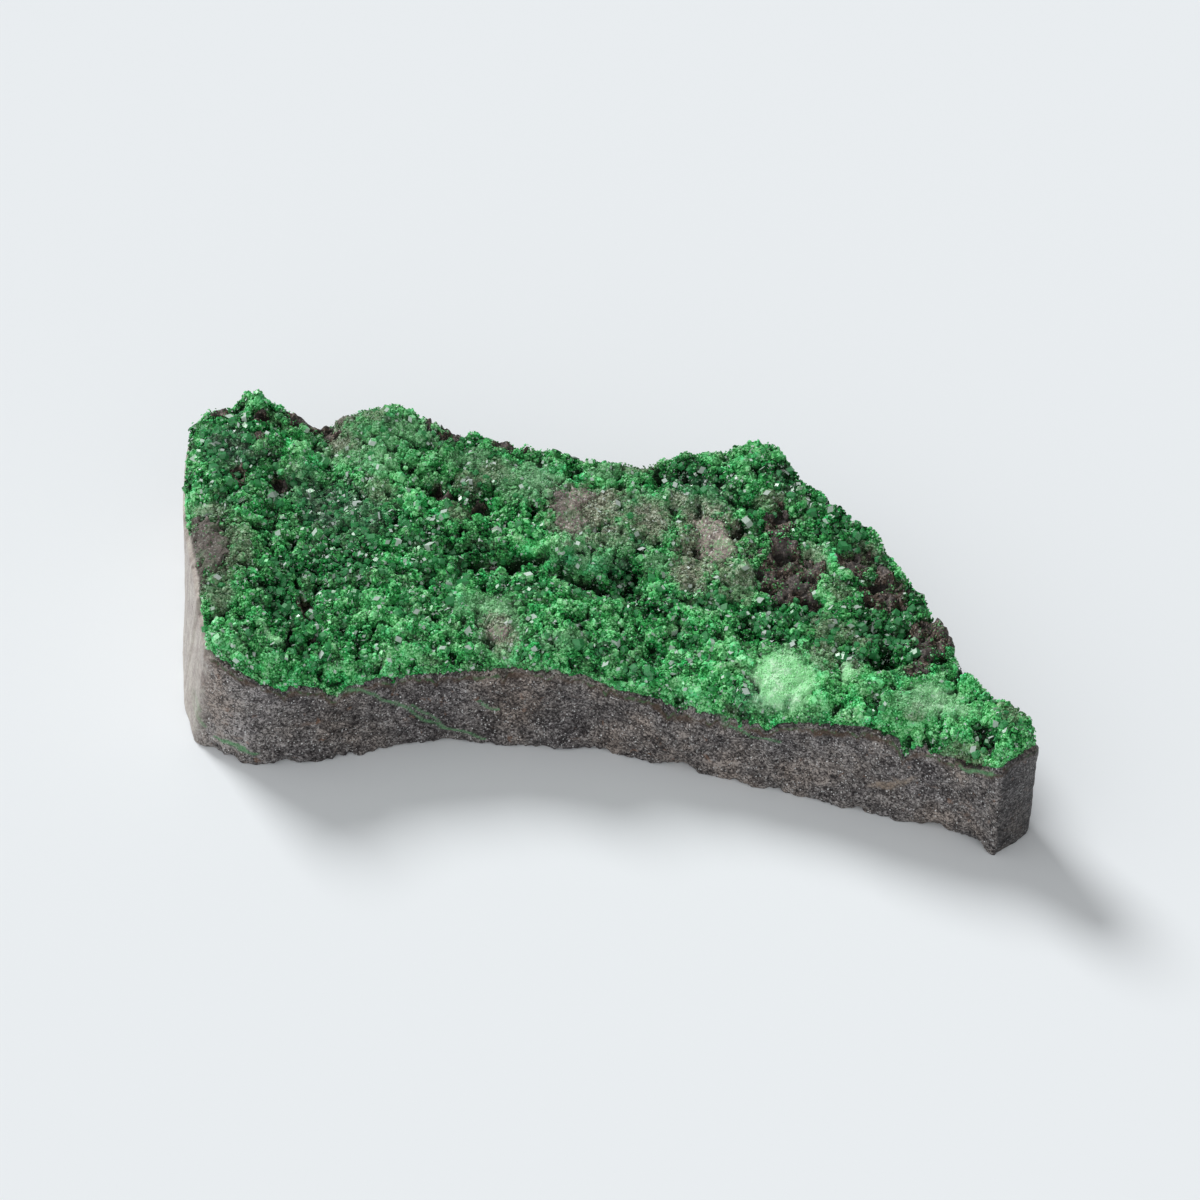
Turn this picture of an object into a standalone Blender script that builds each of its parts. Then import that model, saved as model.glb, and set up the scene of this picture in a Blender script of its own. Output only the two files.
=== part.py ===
# A uvarovite garnet specimen: a broken slab of dark chromite rock whose top is
# grown over with a crust of small emerald-green garnet crystals.
#
# Two solids, in metres, +Z up, standing on the sawn underside at z = 0:
#   chromite_matrix   the slab of host rock, with the bare knobs that rise
#                     through the crust
#   uvarovite_druse   the crust of crystals grown together, up to their tips,
#                     open where the rock shows through
#
# Everything is laid out in millimetres and scaled to metres at the end.

import math

import bmesh
import bpy
from mathutils import Matrix, Vector, noise

# ---------------------------------------------------------------- dimensions
MM = 0.001
GAP = 0.34                   # clearance between the crust and the rock
VOXEL_ROCK = 0.62            # mesh fineness while the stone is shaped
VOXEL_CRUST = 0.50
ROCK_TRIANGLES = 3600
CRUST_TRIANGLES = 4600
CRUST_BLOCK = 2.4            # height of the crust before it is laid on the rock
ROCK_BLOCK = 9.0
EDGE_INSET = 0.25            # the crust stops this far inside the rock's rim

# The rim of the slab seen from above, anticlockwise from the front left corner.
RIM_FRONT = [
    (-32.7, -16.9), (-31.0, -18.5), (-28.8, -19.4), (-25.9, -19.2), (-21.9, -18.4),
    (-17.9, -17.4), (-13.9, -16.8), (-9.8, -17.0), (-6.8, -17.3), (-3.7, -17.5),
    (-1.2, -17.3), (0.8, -17.8), (3.4, -18.8), (6.4, -19.7), (9.4, -20.7),
    (12.4, -21.6), (15.4, -22.4), (18.4, -23.4), (21.4, -24.5), (24.3, -25.4),
    (27.3, -26.5), (29.3, -27.4), (31.2, -28.7), (32.6, -29.8),
]
RIM_END = [(34.0, -29.7), (35.3, -28.9), (35.9, -27.4), (35.4, -25.6)]
RIM_BACK = [
    (33.8, -23.2), (32.0, -21.3), (30.3, -18.2), (29.3, -14.6), (27.6, -9.9),
    (25.7, -6.4), (23.8, -2.9), (21.9, 0.2), (19.9, 2.2), (17.9, 4.3),
    (16.4, 6.9), (15.1, 8.4), (12.6, 8.4), (10.4, 8.0), (7.8, 7.5),
    (5.6, 7.2), (3.0, 7.0), (0.0, 7.4), (-2.6, 8.0), (-4.8, 8.6),
    (-8.7, 9.5), (-11.7, 10.1), (-13.5, 10.7), (-15.7, 11.4), (-18.7, 12.0),
    (-22.0, 12.1), (-24.2, 11.7), (-26.1, 11.8), (-28.0, 12.3), (-30.4, 12.8),
    (-33.1, 12.5), (-35.0, 11.6),
]
RIM_LEFT = [
    (-35.9, 10.2), (-36.0, 5.7), (-35.8, 1.4), (-35.2, -3.2), (-34.6, -6.5),
    (-34.0, -10.0), (-33.4, -13.3), (-32.9, -15.8),
]

# Height of the rock's top along the front rim and along the back rim, by x.
FRONT_HEIGHT = [
    (-36, 10.6), (-33, 11.0), (-30, 10.0), (-26, 8.9), (-22, 7.8), (-18, 8.2),
    (-14, 7.8), (-10, 8.0), (-6.5, 9.0), (-3.5, 9.1), (-1, 8.1), (3, 7.5),
    (7, 7.1), (10, 7.3), (13, 6.9), (16, 7.6), (19, 8.4), (22, 9.1), (25, 8.9),
    (28, 8.1), (30, 8.2), (32.3, 10.0), (34, 11.0), (36, 11.1),
]
BACK_HEIGHT = [
    (-36, 8.9), (-33, 9.5), (-30.4, 10.4), (-27.5, 9.4), (-24, 8.0), (-21, 9.4),
    (-18.5, 9.9), (-15, 9.4), (-11, 8.7), (-6, 8.2), (0, 8.1), (6, 8.2),
    (14, 9.0), (18, 8.5), (24, 8.3), (29, 8.4), (33, 9.4), (36, 10.2),
]

# How far the left wall's foot stands out past its rim, by y.
LEFT_SPREAD = [(-19, 1.6), (-15.8, 2.3), (-13.3, 2.4), (-10, 1.85), (-6.5, 1.4), (-3.2, 0.75), (0, 0.35), (6, 0.1)]
RIGHT_UNDERCUT = 0.15

# Places where the rock shows through the crust: centre, half sizes, turn in
# degrees, and how far the rock rises above its own top there. A rise of 0 is
# the floor of an open pocket.
BARE = [
    ("left_knob", (-33.4, -2.9), (2.2, 3.3), 8, 1.15),
    ("middle_knob", (-1.0, 0.7), (2.9, 2.8), 20, 1.45),
    ("right_knob", (9.1, -1.3), (2.8, 3.0), -25, 1.45),
    ("small_knob", (-8.7, -13.3), (1.7, 1.8), 0, 1.25),
    ("brown_pocket", (16.0, -7.8), (3.3, 2.6), 30, 0.15),
    ("edge_pocket", (23.3, -8.4), (1.5, 2.7), 22, 0.25),
]
BARE_GAP = 0.75              # open ring between a knob and the crust around it

# Swells and hollows of the crust's top: centre, half sizes, turn, height.
RELIEF = [
    ((-30.2, 11.4), (2.2, 1.8), 0, 0.90),      # the tallest cluster
    ((-33.4, 9.6), (2.2, 2.4), 0, 0.35),
    ((-19.0, 9.6), (4.6, 3.0), 0, 0.70),
    ((-24.0, 10.8), (1.6, 2.2), 0, -0.55),
    ((-26.5, 7.0), (3.0, 2.6), 0, 0.45),
    ((-29.6, 4.4), (2.0, 1.8), 0, -0.60),
    ((-21.6, 1.2), (4.4, 2.4), -10, -0.45),
    ((-14.2, 4.0), (1.8, 1.6), 0, -0.85),
    ((-10.0, 1.3), (1.6, 1.3), 0, -0.95),
    ((-12.2, 6.5), (2.8, 1.6), 0, 0.40),
    ((-9.4, -5.0), (4.6, 1.0), -4, -0.95),
    ((-3.2, -7.4), (5.6, 1.2), -16, -1.10),
    ((-15.4, -7.6), (4.0, 2.0), 0, 0.40),
    ((-5.4, -2.6), (3.4, 1.2), -8, 0.55),
    ((-26.6, -9.4), (1.2, 4.2), 14, -0.70),
    ((-30.6, -13.6), (1.6, 1.4), 0, -0.50),
    ((-21.5, -12.6), (3.8, 2.2), 0, 0.35),
    ((1.6, -11.6), (3.4, 1.8), -10, 0.45),
    ((7.2, 4.6), (2.8, 1.6), 0, -0.45),
    ((14.2, 6.2), (2.6, 1.8), 0, 0.35),
    ((12.8, 1.6), (1.3, 1.2), 0, -0.95),
    ((14.7, -8.9), (5.6, 1.0), 8, -0.30),
    ((8.2, -9.8), (3.6, 2.2), 0, 0.50),
    ((16.2, -16.6), (4.6, 2.6), 6, 0.80),
    ((23.6, -14.4), (1.9, 1.6), 0, -1.20),
    ((20.6, -4.4), (2.2, 2.4), 0, 0.35),
    ((28.4, -19.4), (4.6, 2.2), -20, 0.70),
    ((32.4, -22.6), (1.5, 1.1), 0, -0.95),
    ((6.4, -15.8), (2.6, 1.2), 0, -0.35),
]

ROCK_COLOUR = (0.105, 0.092, 0.088, 1.0)
CRUST_COLOUR = (0.035, 0.210, 0.070, 1.0)


# ------------------------------------------------------------------- helpers
def smooth(t):
    t = min(1.0, max(0.0, t))
    return t * t * (3 - 2 * t)


def table(rows, x):
    """Value at x of a list of (x, value), eased between its rows."""
    if x <= rows[0][0]:
        return rows[0][1]
    for (x0, v0), (x1, v1) in zip(rows, rows[1:]):
        if x <= x1:
            return v0 + (v1 - v0) * smooth((x - x0) / (x1 - x0))
    return rows[-1][1]


def line_y(points, x):
    """y at x of a run of points that goes steadily along x."""
    points = sorted(points)
    if x <= points[0][0]:
        return points[0][1]
    for (x0, y0), (x1, y1) in zip(points, points[1:]):
        if x <= x1:
            return y0 + (y1 - y0) * (x - x0) / max(x1 - x0, 1e-6)
    return points[-1][1]


def rounded(points, steps=4):
    """A closed smooth line through the points (Catmull-Rom)."""
    n, out = len(points), []
    for i in range(n):
        a, b, c, d = (Vector(points[(i + k) % n]) for k in (-1, 0, 1, 2))
        for s in range(steps):
            t = s / steps
            out.append(
                0.5
                * (
                    2 * b
                    + (c - a) * t
                    + (2 * a - 5 * b + 4 * c - d) * t * t
                    + (3 * b - a - 3 * c + d) * t ** 3
                )
            )
    return out


def inset(points, by):
    """The closed line moved inwards. The points run anticlockwise."""
    n, out = len(points), []
    for i, p in enumerate(points):
        along = (points[(i + 1) % n] - points[i - 1]).normalized()
        out.append(p + Vector((-along.y, along.x)) * by)
    return out


def in_ellipse(x, y, centre, half, turn):
    """Distance from the centre in half sizes: 1 on the ellipse's line."""
    a = math.radians(turn)
    dx, dy = x - centre[0], y - centre[1]
    u = (dx * math.cos(a) + dy * math.sin(a)) / half[0]
    v = (-dx * math.sin(a) + dy * math.cos(a)) / half[1]
    return math.hypot(u, v)


def ellipse(centre, half, turn, grow=0.0, wobble=0.0, count=28):
    a, out = math.radians(turn), []
    for i in range(count):
        t = 2 * math.pi * i / count
        r = 1 + wobble * noise.noise(Vector((centre[0] + 1.6 * math.cos(t), centre[1] + 1.6 * math.sin(t), 5.0)))
        u, v = (half[0] + grow) * r * math.cos(t), (half[1] + grow) * r * math.sin(t)
        out.append(Vector((centre[0] + u * math.cos(a) - v * math.sin(a), centre[1] + u * math.sin(a) + v * math.cos(a))))
    return out


RIM = rounded(RIM_FRONT + RIM_END + RIM_BACK + RIM_LEFT)


def to_rim(x, y):
    """Distance from a plan point to the slab's rim."""
    p, best = Vector((x, y)), 1e9
    for i, b in enumerate(RIM):
        a = RIM[i - 1]
        ab = b - a
        t = min(1.0, max(0.0, (p - a).dot(ab) / max(ab.length_squared, 1e-9)))
        best = min(best, (p - a - ab * t).length_squared)
    return math.sqrt(best)


# ------------------------------------------------------------ stone's surfaces
FRONT_LINE = RIM_LEFT[-1:] + RIM_FRONT + RIM_END[:2]
BACK_LINE = RIM_END[3:] + RIM_BACK + RIM_LEFT[:1]


def rock_level(x, y):
    """The rock's top without its knobs: two rims joined by a smooth slope."""
    y0, y1 = line_y(FRONT_LINE, x), line_y(BACK_LINE, x)
    v = smooth((y - y0) / max(y1 - y0, 2.0))
    swell = 0.30 * noise.noise(Vector((x * 0.11, y * 0.11, 3.7)))
    return table(FRONT_HEIGHT, x) * (1 - v) + table(BACK_HEIGHT, x) * v + swell


def rock_top(x, y):
    z = rock_level(x, y)
    for _, centre, half, turn, rise in BARE:
        r = in_ellipse(x, y, centre, half, turn)
        z += rise * (1 - smooth((r - 0.72) / 0.30))
    return z


def crust_top(x, y, edge):
    """The crust's top, over the tips of its crystals."""
    thick = 0.95 + 0.75 * smooth(edge / 2.6)
    # the crust stands thicker along the back rim
    thick += 0.50 * smooth(1 + (y - line_y(BACK_LINE, x)) / 3.2)
    for centre, half, turn, height in RELIEF:
        r = in_ellipse(x, y, centre, half, turn)
        if r < 1.6:
            thick += height * (1 - smooth(r / 1.6))
    thick += 0.46 * noise.noise(Vector((x * 0.42, y * 0.42, 1.0)))
    thick += 0.34 * noise.noise(Vector((x * 0.95, y * 0.95, 7.0)))
    return rock_level(x, y) + GAP + max(0.50, thick)


# ------------------------------------------------------------ modelling steps
def put_in(collection, ob):
    for c in list(ob.users_collection):
        c.objects.unlink(ob)
    collection.objects.link(ob)


def plate(name, lines, z0, z1):
    """A flat outline, with any inner lines as holes, made as thick as z0 to z1."""
    curve = bpy.data.curves.new(name + "_outline", "CURVE")
    curve.dimensions = "2D"
    curve.fill_mode = "BOTH"
    curve.extrude = (z1 - z0) / 2
    for line in lines:
        spline = curve.splines.new("POLY")
        spline.points.add(len(line) - 1)
        for point, at in zip(spline.points, line):
            point.co = (at.x, at.y, 0.0, 1.0)
        spline.use_cyclic_u = True
    guide = bpy.data.objects.new(name + "_outline", curve)
    guide.location.z = (z0 + z1) / 2
    bpy.context.scene.collection.objects.link(guide)
    bpy.context.view_layer.update()
    graph = bpy.context.evaluated_depsgraph_get()
    mesh = bpy.data.meshes.new_from_object(guide.evaluated_get(graph))
    mesh.transform(guide.matrix_world)
    bm = bmesh.new()
    bm.from_mesh(mesh)
    bmesh.ops.remove_doubles(bm, verts=bm.verts, dist=0.001)
    bmesh.ops.recalc_face_normals(bm, faces=bm.faces)
    bm.to_mesh(mesh)
    bm.free()
    bpy.data.objects.remove(guide)
    ob = bpy.data.objects.new(name, mesh)
    bpy.context.scene.collection.objects.link(ob)
    return ob


def keep(ob):
    """Puts the modifiers' result in the object's mesh, and removes them."""
    bpy.context.view_layer.update()
    graph = bpy.context.evaluated_depsgraph_get()
    mesh = bpy.data.meshes.new_from_object(ob.evaluated_get(graph))
    ob.modifiers.clear()
    ob.data = mesh


def even_mesh(ob, voxel):
    remesh = ob.modifiers.new("even", "REMESH")
    remesh.mode = "VOXEL"
    remesh.voxel_size = voxel
    keep(ob)


def fewer(ob, triangles):
    bm = bmesh.new()
    bm.from_mesh(ob.data)
    bmesh.ops.triangulate(bm, faces=bm.faces)
    bm.to_mesh(ob.data)
    bm.free()
    decimate = ob.modifiers.new("fewer", "DECIMATE")
    decimate.ratio = min(1.0, triangles / len(ob.data.polygons))
    keep(ob)


def material(name, colour, roughness, specular):
    made = bpy.data.materials.new(name)
    made.use_nodes = True
    made.diffuse_color = colour
    shader = made.node_tree.nodes["Principled BSDF"]
    shader.inputs["Base Color"].default_value = colour
    shader.inputs["Roughness"].default_value = roughness
    shader.inputs["Metallic"].default_value = 0.0
    shader.inputs["Specular IOR Level"].default_value = specular
    return made


# ------------------------------------------------------------------ the rock
def make_rock():
    ob = plate("chromite_matrix", [RIM], 0.0, ROCK_BLOCK)
    even_mesh(ob, VOXEL_ROCK)
    for v in ob.data.vertices:
        x, y = v.co.x, v.co.y
        t = min(1.0, max(0.0, v.co.z / ROCK_BLOCK))
        edge = to_rim(x, y)
        # the slab's height, with the underside left flat
        z = t * rock_top(x, y)
        # broken walls: lumps and pits, none on the sawn left side
        if edge < 0.9:
            wall = 1 - smooth(edge / 0.9)
            sawn = smooth((-31.5 - x) / 2.0)
            behind = smooth((y - line_y(FRONT_LINE, x) - 3.0) / 4.0)
            rough = (0.40 + 0.45 * behind) * noise.noise(
                Vector((x * 0.28, y * 0.28, z * 0.28))
            ) + (0.28 + 0.20 * behind) * noise.noise(
                Vector((x * 0.75, y * 0.75, z * 0.75 + 9))
            )
            chip = -0.75 * smooth(0.25 + 1.2 * noise.noise(Vector((x * 0.5, y * 0.5, 21.0)))) * (1 - smooth(z / 1.5))
            out = outward(x, y)
            flare = 0.30 * (1 - smooth(z / 5.0))
            move = wall * ((1 - sawn) * (rough + flare) + (1 - 0.6 * sawn) * chip)
            x, y = x + out.x * move, y + out.y * move
        # walls that lean: the left side spreads to its foot, the right end
        # is slightly undercut
        left = smooth((-27.5 - x) / 8.0) * table(LEFT_SPREAD, y)
        right = smooth((x - 30.5) / 5.0) * RIGHT_UNDERCUT
        x -= (1 - t) * (left + right)
        v.co = (x, y, z)
    # the sawn underside, cut flat
    saw = bpy.data.meshes.new("saw")
    bm = bmesh.new()
    bmesh.ops.create_cube(bm, size=1.0, matrix=Matrix.Translation((0, 0, -4.95)) @ Matrix.Diagonal((200, 200, 10, 1)))
    bm.to_mesh(saw)
    bm.free()
    cutter = bpy.data.objects.new("saw", saw)
    cutter.hide_render = True
    cutter.display_type = "WIRE"
    bpy.context.scene.collection.objects.link(cutter)
    fewer(ob, ROCK_TRIANGLES)
    cut = ob.modifiers.new("saw", "BOOLEAN")
    cut.operation = "DIFFERENCE"
    cut.object = cutter
    keep(ob)
    bpy.data.objects.remove(cutter)
    ob.data.transform(Matrix.Translation((0, 0, -0.05)))
    return ob


def outward(x, y):
    """Plan direction from the nearest stretch of rim's inside to its outside."""
    p, best, at = Vector((x, y)), 1e9, 0
    for i, b in enumerate(RIM):
        d = (p - b).length_squared
        if d < best:
            best, at = d, i
    along = (RIM[(at + 1) % len(RIM)] - RIM[at - 1]).normalized()
    return Vector((along.y, -along.x))


# ----------------------------------------------------------------- the crust
def make_crust():
    lines = [inset(RIM, EDGE_INSET)]
    for name, centre, half, turn, _ in BARE:
        if name != "left_knob":
            lines.append(ellipse(centre, half, turn, grow=BARE_GAP * 0.55, wobble=0.22))
    ob = plate("uvarovite_druse", lines, 0.0, CRUST_BLOCK)
    # the left knob reaches the rim, so it is a bay in the crust's edge
    _, centre, half, turn, _ = BARE[0]
    bay = plate("bay", [ellipse(centre, half, turn, grow=BARE_GAP * 0.5)], -5.0, 8.0)
    bay.hide_render = True
    bay.display_type = "WIRE"
    cut = ob.modifiers.new("bay", "BOOLEAN")
    cut.operation = "DIFFERENCE"
    cut.object = bay
    keep(ob)
    bpy.data.objects.remove(bay)
    even_mesh(ob, VOXEL_CRUST)
    for v in ob.data.vertices:
        x, y = v.co.x, v.co.y
        t = min(1.0, max(0.0, v.co.z / CRUST_BLOCK))
        edge = to_rim(x, y)
        low = rock_level(x, y) + GAP
        z = low + t * (crust_top(x, y, edge) - low)
        v.co = (x, y, z)
    fewer(ob, CRUST_TRIANGLES)
    return ob


# ------------------------------------------------------------------ assembly
def main():
    for ob in list(bpy.data.objects):
        bpy.data.objects.remove(ob)
    parts = bpy.data.collections.new("uvarovite_specimen")
    bpy.context.scene.collection.children.link(parts)
    rock = make_rock()
    crust = make_crust()
    rock.data.materials.clear()
    rock.data.materials.append(material("chromite_rock", ROCK_COLOUR, 0.62, 0.5))
    crust.data.materials.clear()
    crust.data.materials.append(material("uvarovite", CRUST_COLOUR, 0.22, 0.8))
    # to the middle of its own box, then to metres
    corners = [v.co for ob in (rock, crust) for v in ob.data.vertices]
    middle = [(min(c[k] for c in corners) + max(c[k] for c in corners)) / 2 for k in (0, 1)]
    base = min(c[2] for c in corners)
    print("plan middle before the shift, mm:", [round(m, 3) for m in middle], "base", round(base, 4))
    place = Matrix.Scale(MM, 4) @ Matrix.Translation((-middle[0], -middle[1], -base))
    for ob in (rock, crust):
        ob.data.transform(place)
        ob.data.update()
        put_in(parts, ob)
        ob.data.polygons.foreach_set("use_smooth", [False] * len(ob.data.polygons))


main()
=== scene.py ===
import math

import bmesh
import bpy
import numpy as np
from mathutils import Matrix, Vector
from mathutils.bvhtree import BVHTree
from mathutils.geometry import delaunay_2d_cdt


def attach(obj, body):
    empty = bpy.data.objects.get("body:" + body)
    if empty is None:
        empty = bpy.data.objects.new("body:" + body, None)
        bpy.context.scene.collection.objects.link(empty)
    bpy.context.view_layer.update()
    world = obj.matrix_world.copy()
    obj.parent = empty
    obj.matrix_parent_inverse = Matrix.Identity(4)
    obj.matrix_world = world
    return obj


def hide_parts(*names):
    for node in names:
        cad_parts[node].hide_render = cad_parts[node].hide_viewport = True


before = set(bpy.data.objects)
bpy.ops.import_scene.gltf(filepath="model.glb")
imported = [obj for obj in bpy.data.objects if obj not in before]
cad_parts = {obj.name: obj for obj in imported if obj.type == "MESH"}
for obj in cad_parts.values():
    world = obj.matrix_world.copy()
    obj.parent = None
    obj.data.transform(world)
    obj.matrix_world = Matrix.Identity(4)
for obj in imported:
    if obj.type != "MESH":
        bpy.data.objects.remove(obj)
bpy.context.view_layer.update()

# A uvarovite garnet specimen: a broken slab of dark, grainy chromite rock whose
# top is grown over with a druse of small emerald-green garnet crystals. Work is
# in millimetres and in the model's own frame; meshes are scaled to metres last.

MM = 0.001
SHIFT = (0.039, 8.569)        # photo's middle on the ground plane, mm, in the model's frame
SEED = 8

# ------------------------------------------------------------------ the camera
LENS, SENSOR, FRAME_PX = 150.0, 36.0, 1200.0
TILT = math.radians(45.0)
DISTANCE = 434.78             # mm

EYE = np.array([SHIFT[0], SHIFT[1] - DISTANCE * math.cos(TILT), DISTANCE * math.sin(TILT)])
LOOK = np.array([0.0, math.cos(TILT), -math.sin(TILT)])
UP = np.array([0.0, math.sin(TILT), math.cos(TILT)])
FOCAL = LENS / SENSOR * FRAME_PX

camera = bpy.data.objects.new("camera", bpy.data.cameras.new("camera"))
camera.data.lens = LENS
camera.data.sensor_width = SENSOR
camera.data.clip_start = 0.01
camera.data.clip_end = 20.0
camera.location = [c * MM for c in EYE]
camera.rotation_euler = (TILT, 0.0, 0.0)
bpy.context.scene.collection.objects.link(camera)
bpy.context.scene.camera = camera


def seen_at(x, y, z):
    """Where points of the rock (mm) lie in the 1200 x 1200 frame at rest."""
    dx, dy, dz = x - EYE[0], y - EYE[1], z - EYE[2]
    depth = dy * LOOK[1] + dz * LOOK[2]
    return 600 + FOCAL * dx / depth, 600 - FOCAL * (dy * UP[1] + dz * UP[2]) / depth


# --------------------------------------------------------------------- noise
def _hash(ix, iy, iz, seed):
    h = (ix.astype(np.int64) * 374761393 + iy.astype(np.int64) * 668265263
         + iz.astype(np.int64) * 2147483647 + seed * 974634777)
    h = (h ^ (h >> 13)) * 1274126177
    h = h & 0x7FFFFFFFFFFFFFFF
    h = h ^ (h >> 16)
    return (h & 0xFFFFFF).astype(np.float64) / float(0xFFFFFF)


def vnoise(x, y, z=None, scale=1.0, seed=0):
    """Smooth noise from -1 to 1, with features about `scale` mm wide."""
    x = np.asarray(x, float) / scale
    y = np.asarray(y, float) / scale
    z = np.zeros_like(x) if z is None else np.asarray(z, float) / scale
    ix, iy, iz = np.floor(x), np.floor(y), np.floor(z)
    fx, fy, fz = x - ix, y - iy, z - iz
    ux, uy, uz = (f * f * f * (f * (f * 6 - 15) + 10) for f in (fx, fy, fz))
    out = np.zeros_like(x)
    for a in (0, 1):
        for b in (0, 1):
            for c in (0, 1):
                w = (ux if a else 1 - ux) * (uy if b else 1 - uy) * (uz if c else 1 - uz)
                out += w * _hash(ix + a, iy + b, iz + c, seed)
    return out * 2 - 1


def fbm(x, y, z=None, scale=1.0, seed=0, octaves=3, gain=0.5):
    total, amp, norm = 0.0, 1.0, 0.0
    for k in range(octaves):
        total = total + amp * vnoise(x, y, z, scale / 2 ** k, seed + 17 * k)
        norm += amp
        amp *= gain
    return total / norm


def cells(x, y, scale, seed, jitter=0.95):
    """Distances to the nearest two cell points, in cell widths, and a number
    from 0 to 1 for the nearest cell."""
    gx, gy = np.asarray(x, float) / scale, np.asarray(y, float) / scale
    ix, iy = np.floor(gx), np.floor(gy)
    d1 = np.full(gx.shape, 9.0)
    d2 = np.full(gx.shape, 9.0)
    own = np.zeros(gx.shape)
    zero = np.zeros_like(gx)
    for a in (-1, 0, 1):
        for b in (-1, 0, 1):
            cx, cy = ix + a, iy + b
            px = cx + 0.5 + jitter * (_hash(cx, cy, zero, seed) - 0.5)
            py = cy + 0.5 + jitter * (_hash(cx, cy, zero + 5, seed + 3) - 0.5)
            d = np.hypot(gx - px, gy - py)
            nearer = d < d1
            d2 = np.where(nearer, d1, np.minimum(d2, d))
            own = np.where(nearer, _hash(cx, cy, zero + 9, seed + 7), own)
            d1 = np.where(nearer, d, d1)
    return d1, d2, own


def smooth(t):
    t = np.clip(t, 0.0, 1.0)
    return t * t * (3 - 2 * t)


# --------------------------------------------------- the CAD solids, as a grid
def corners_of(node):
    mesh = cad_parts[node].data
    co = np.empty(len(mesh.vertices) * 3, np.float32)
    mesh.vertices.foreach_get("co", co)
    return co.reshape(-1, 3) / MM, [tuple(p.vertices) for p in mesh.polygons]


def bvh_of(node):
    points, faces = corners_of(node)
    return BVHTree.FromPolygons([tuple(p) for p in points.tolist()], faces)


ROCK_TREE, CRUST_TREE = bvh_of("chromite_matrix"), bvh_of("uvarovite_druse")
STEP = 0.12                   # grid spacing, mm
_points = np.vstack([corners_of("chromite_matrix")[0], corners_of("uvarovite_druse")[0]])
LOW, HIGH = _points.min(0), _points.max(0)
GX = np.arange(LOW[0] - 0.6, HIGH[0] + 0.6 + STEP, STEP)
GY = np.arange(LOW[1] - 0.6, HIGH[1] + 0.6 + STEP, STEP)


def drop(tree, coarse=3):
    """Height of a solid's top over the grid, NaN where there is none."""
    xs, ys = GX[::coarse], GY[::coarse]
    out = np.full((len(xs), len(ys)), np.nan)
    down = Vector((0, 0, -1))
    for i, x in enumerate(xs):
        for j, y in enumerate(ys):
            hit = tree.ray_cast(Vector((x, y, 50.0)), down)
            if hit[0] is not None:
                out[i, j] = hit[0].z
    return xs, ys, out


def blurred(a, times):
    for _ in range(times):
        b = np.pad(a, 1, mode="edge")
        a = (b[1:-1, 1:-1] * 2 + b[:-2, 1:-1] + b[2:, 1:-1] + b[1:-1, :-2] + b[1:-1, 2:]) / 6
    return a


def filled(a):
    """NaNs filled outwards from their neighbours."""
    a = a.copy()
    for _ in range(60):
        gaps = np.isnan(a)
        if not gaps.any():
            break
        b = np.pad(a, 1, constant_values=np.nan)
        near = np.stack([b[:-2, 1:-1], b[2:, 1:-1], b[1:-1, :-2], b[1:-1, 2:]])
        count = (~np.isnan(near)).sum(0)
        total = np.nansum(near, 0)
        fill = gaps & (count > 0)
        a[fill] = total[fill] / count[fill]
    return np.nan_to_num(a, nan=float(np.nanmean(a)))


class Height:
    """A height over the plan, read between its grid's points."""

    def __init__(self, xs, ys, values):
        self.xs, self.ys, self.values = xs, ys, values

    def at(self, x, y):
        fx = np.clip((np.asarray(x) - self.xs[0]) / (self.xs[1] - self.xs[0]), 0, len(self.xs) - 1.001)
        fy = np.clip((np.asarray(y) - self.ys[0]) / (self.ys[1] - self.ys[0]), 0, len(self.ys) - 1.001)
        i, j = np.floor(fx).astype(int), np.floor(fy).astype(int)
        u, v = fx - i, fy - j
        h = self.values
        return ((h[i, j] * (1 - u) + h[i + 1, j] * u) * (1 - v)
                + (h[i, j + 1] * (1 - u) + h[i + 1, j + 1] * u) * v)


_xs, _ys, _rock = drop(ROCK_TREE)
_, _, _crust = drop(CRUST_TREE)
ROCK = Height(_xs, _ys, blurred(filled(_rock), 2))
CRUST = Height(_xs, _ys, blurred(filled(_crust), 3))


# ------------------------------------------------------------- the slab's rim
# Seen from above, anticlockwise from the front left corner, mm about the
# photo's middle; the last step moves it into the model's frame.
RIM_FRONT = [
    (-32.7, -16.9), (-31.0, -18.5), (-28.8, -19.4), (-25.9, -19.2), (-21.9, -18.4),
    (-17.9, -17.4), (-13.9, -16.8), (-9.8, -17.0), (-6.8, -17.3), (-3.7, -17.5),
    (-1.2, -17.3), (0.8, -17.8), (3.4, -18.8), (6.4, -19.7), (9.4, -20.7),
    (12.4, -21.6), (15.4, -22.4), (18.4, -23.4), (21.4, -24.5), (24.3, -25.4),
    (27.3, -26.5), (29.3, -27.4), (31.2, -28.7), (32.3, -29.6), (32.65, -29.8),
]
RIM_END = [(33.0, -29.65), (34.3, -28.8), (35.4, -27.9), (35.85, -27.3), (35.75, -26.4), (35.2, -25.2)]
RIM_BACK = [
    (33.8, -23.2), (32.0, -21.3), (30.3, -18.2), (29.3, -14.6), (27.6, -9.9),
    (25.7, -6.4), (23.8, -2.9), (21.9, 0.2), (19.9, 2.2), (17.9, 4.3),
    (16.4, 6.9), (15.1, 8.4), (12.6, 8.4), (10.4, 8.0), (7.8, 7.5),
    (5.6, 7.2), (3.0, 7.0), (0.0, 7.4), (-2.6, 8.0), (-4.8, 8.6),
    (-8.7, 9.5), (-11.7, 10.1), (-13.5, 10.7), (-15.7, 11.4), (-18.7, 12.0),
    (-22.0, 12.1), (-24.2, 11.7), (-26.1, 11.8), (-28.0, 12.3), (-30.4, 12.8),
    (-33.1, 12.5), (-35.0, 11.6),
]
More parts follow.
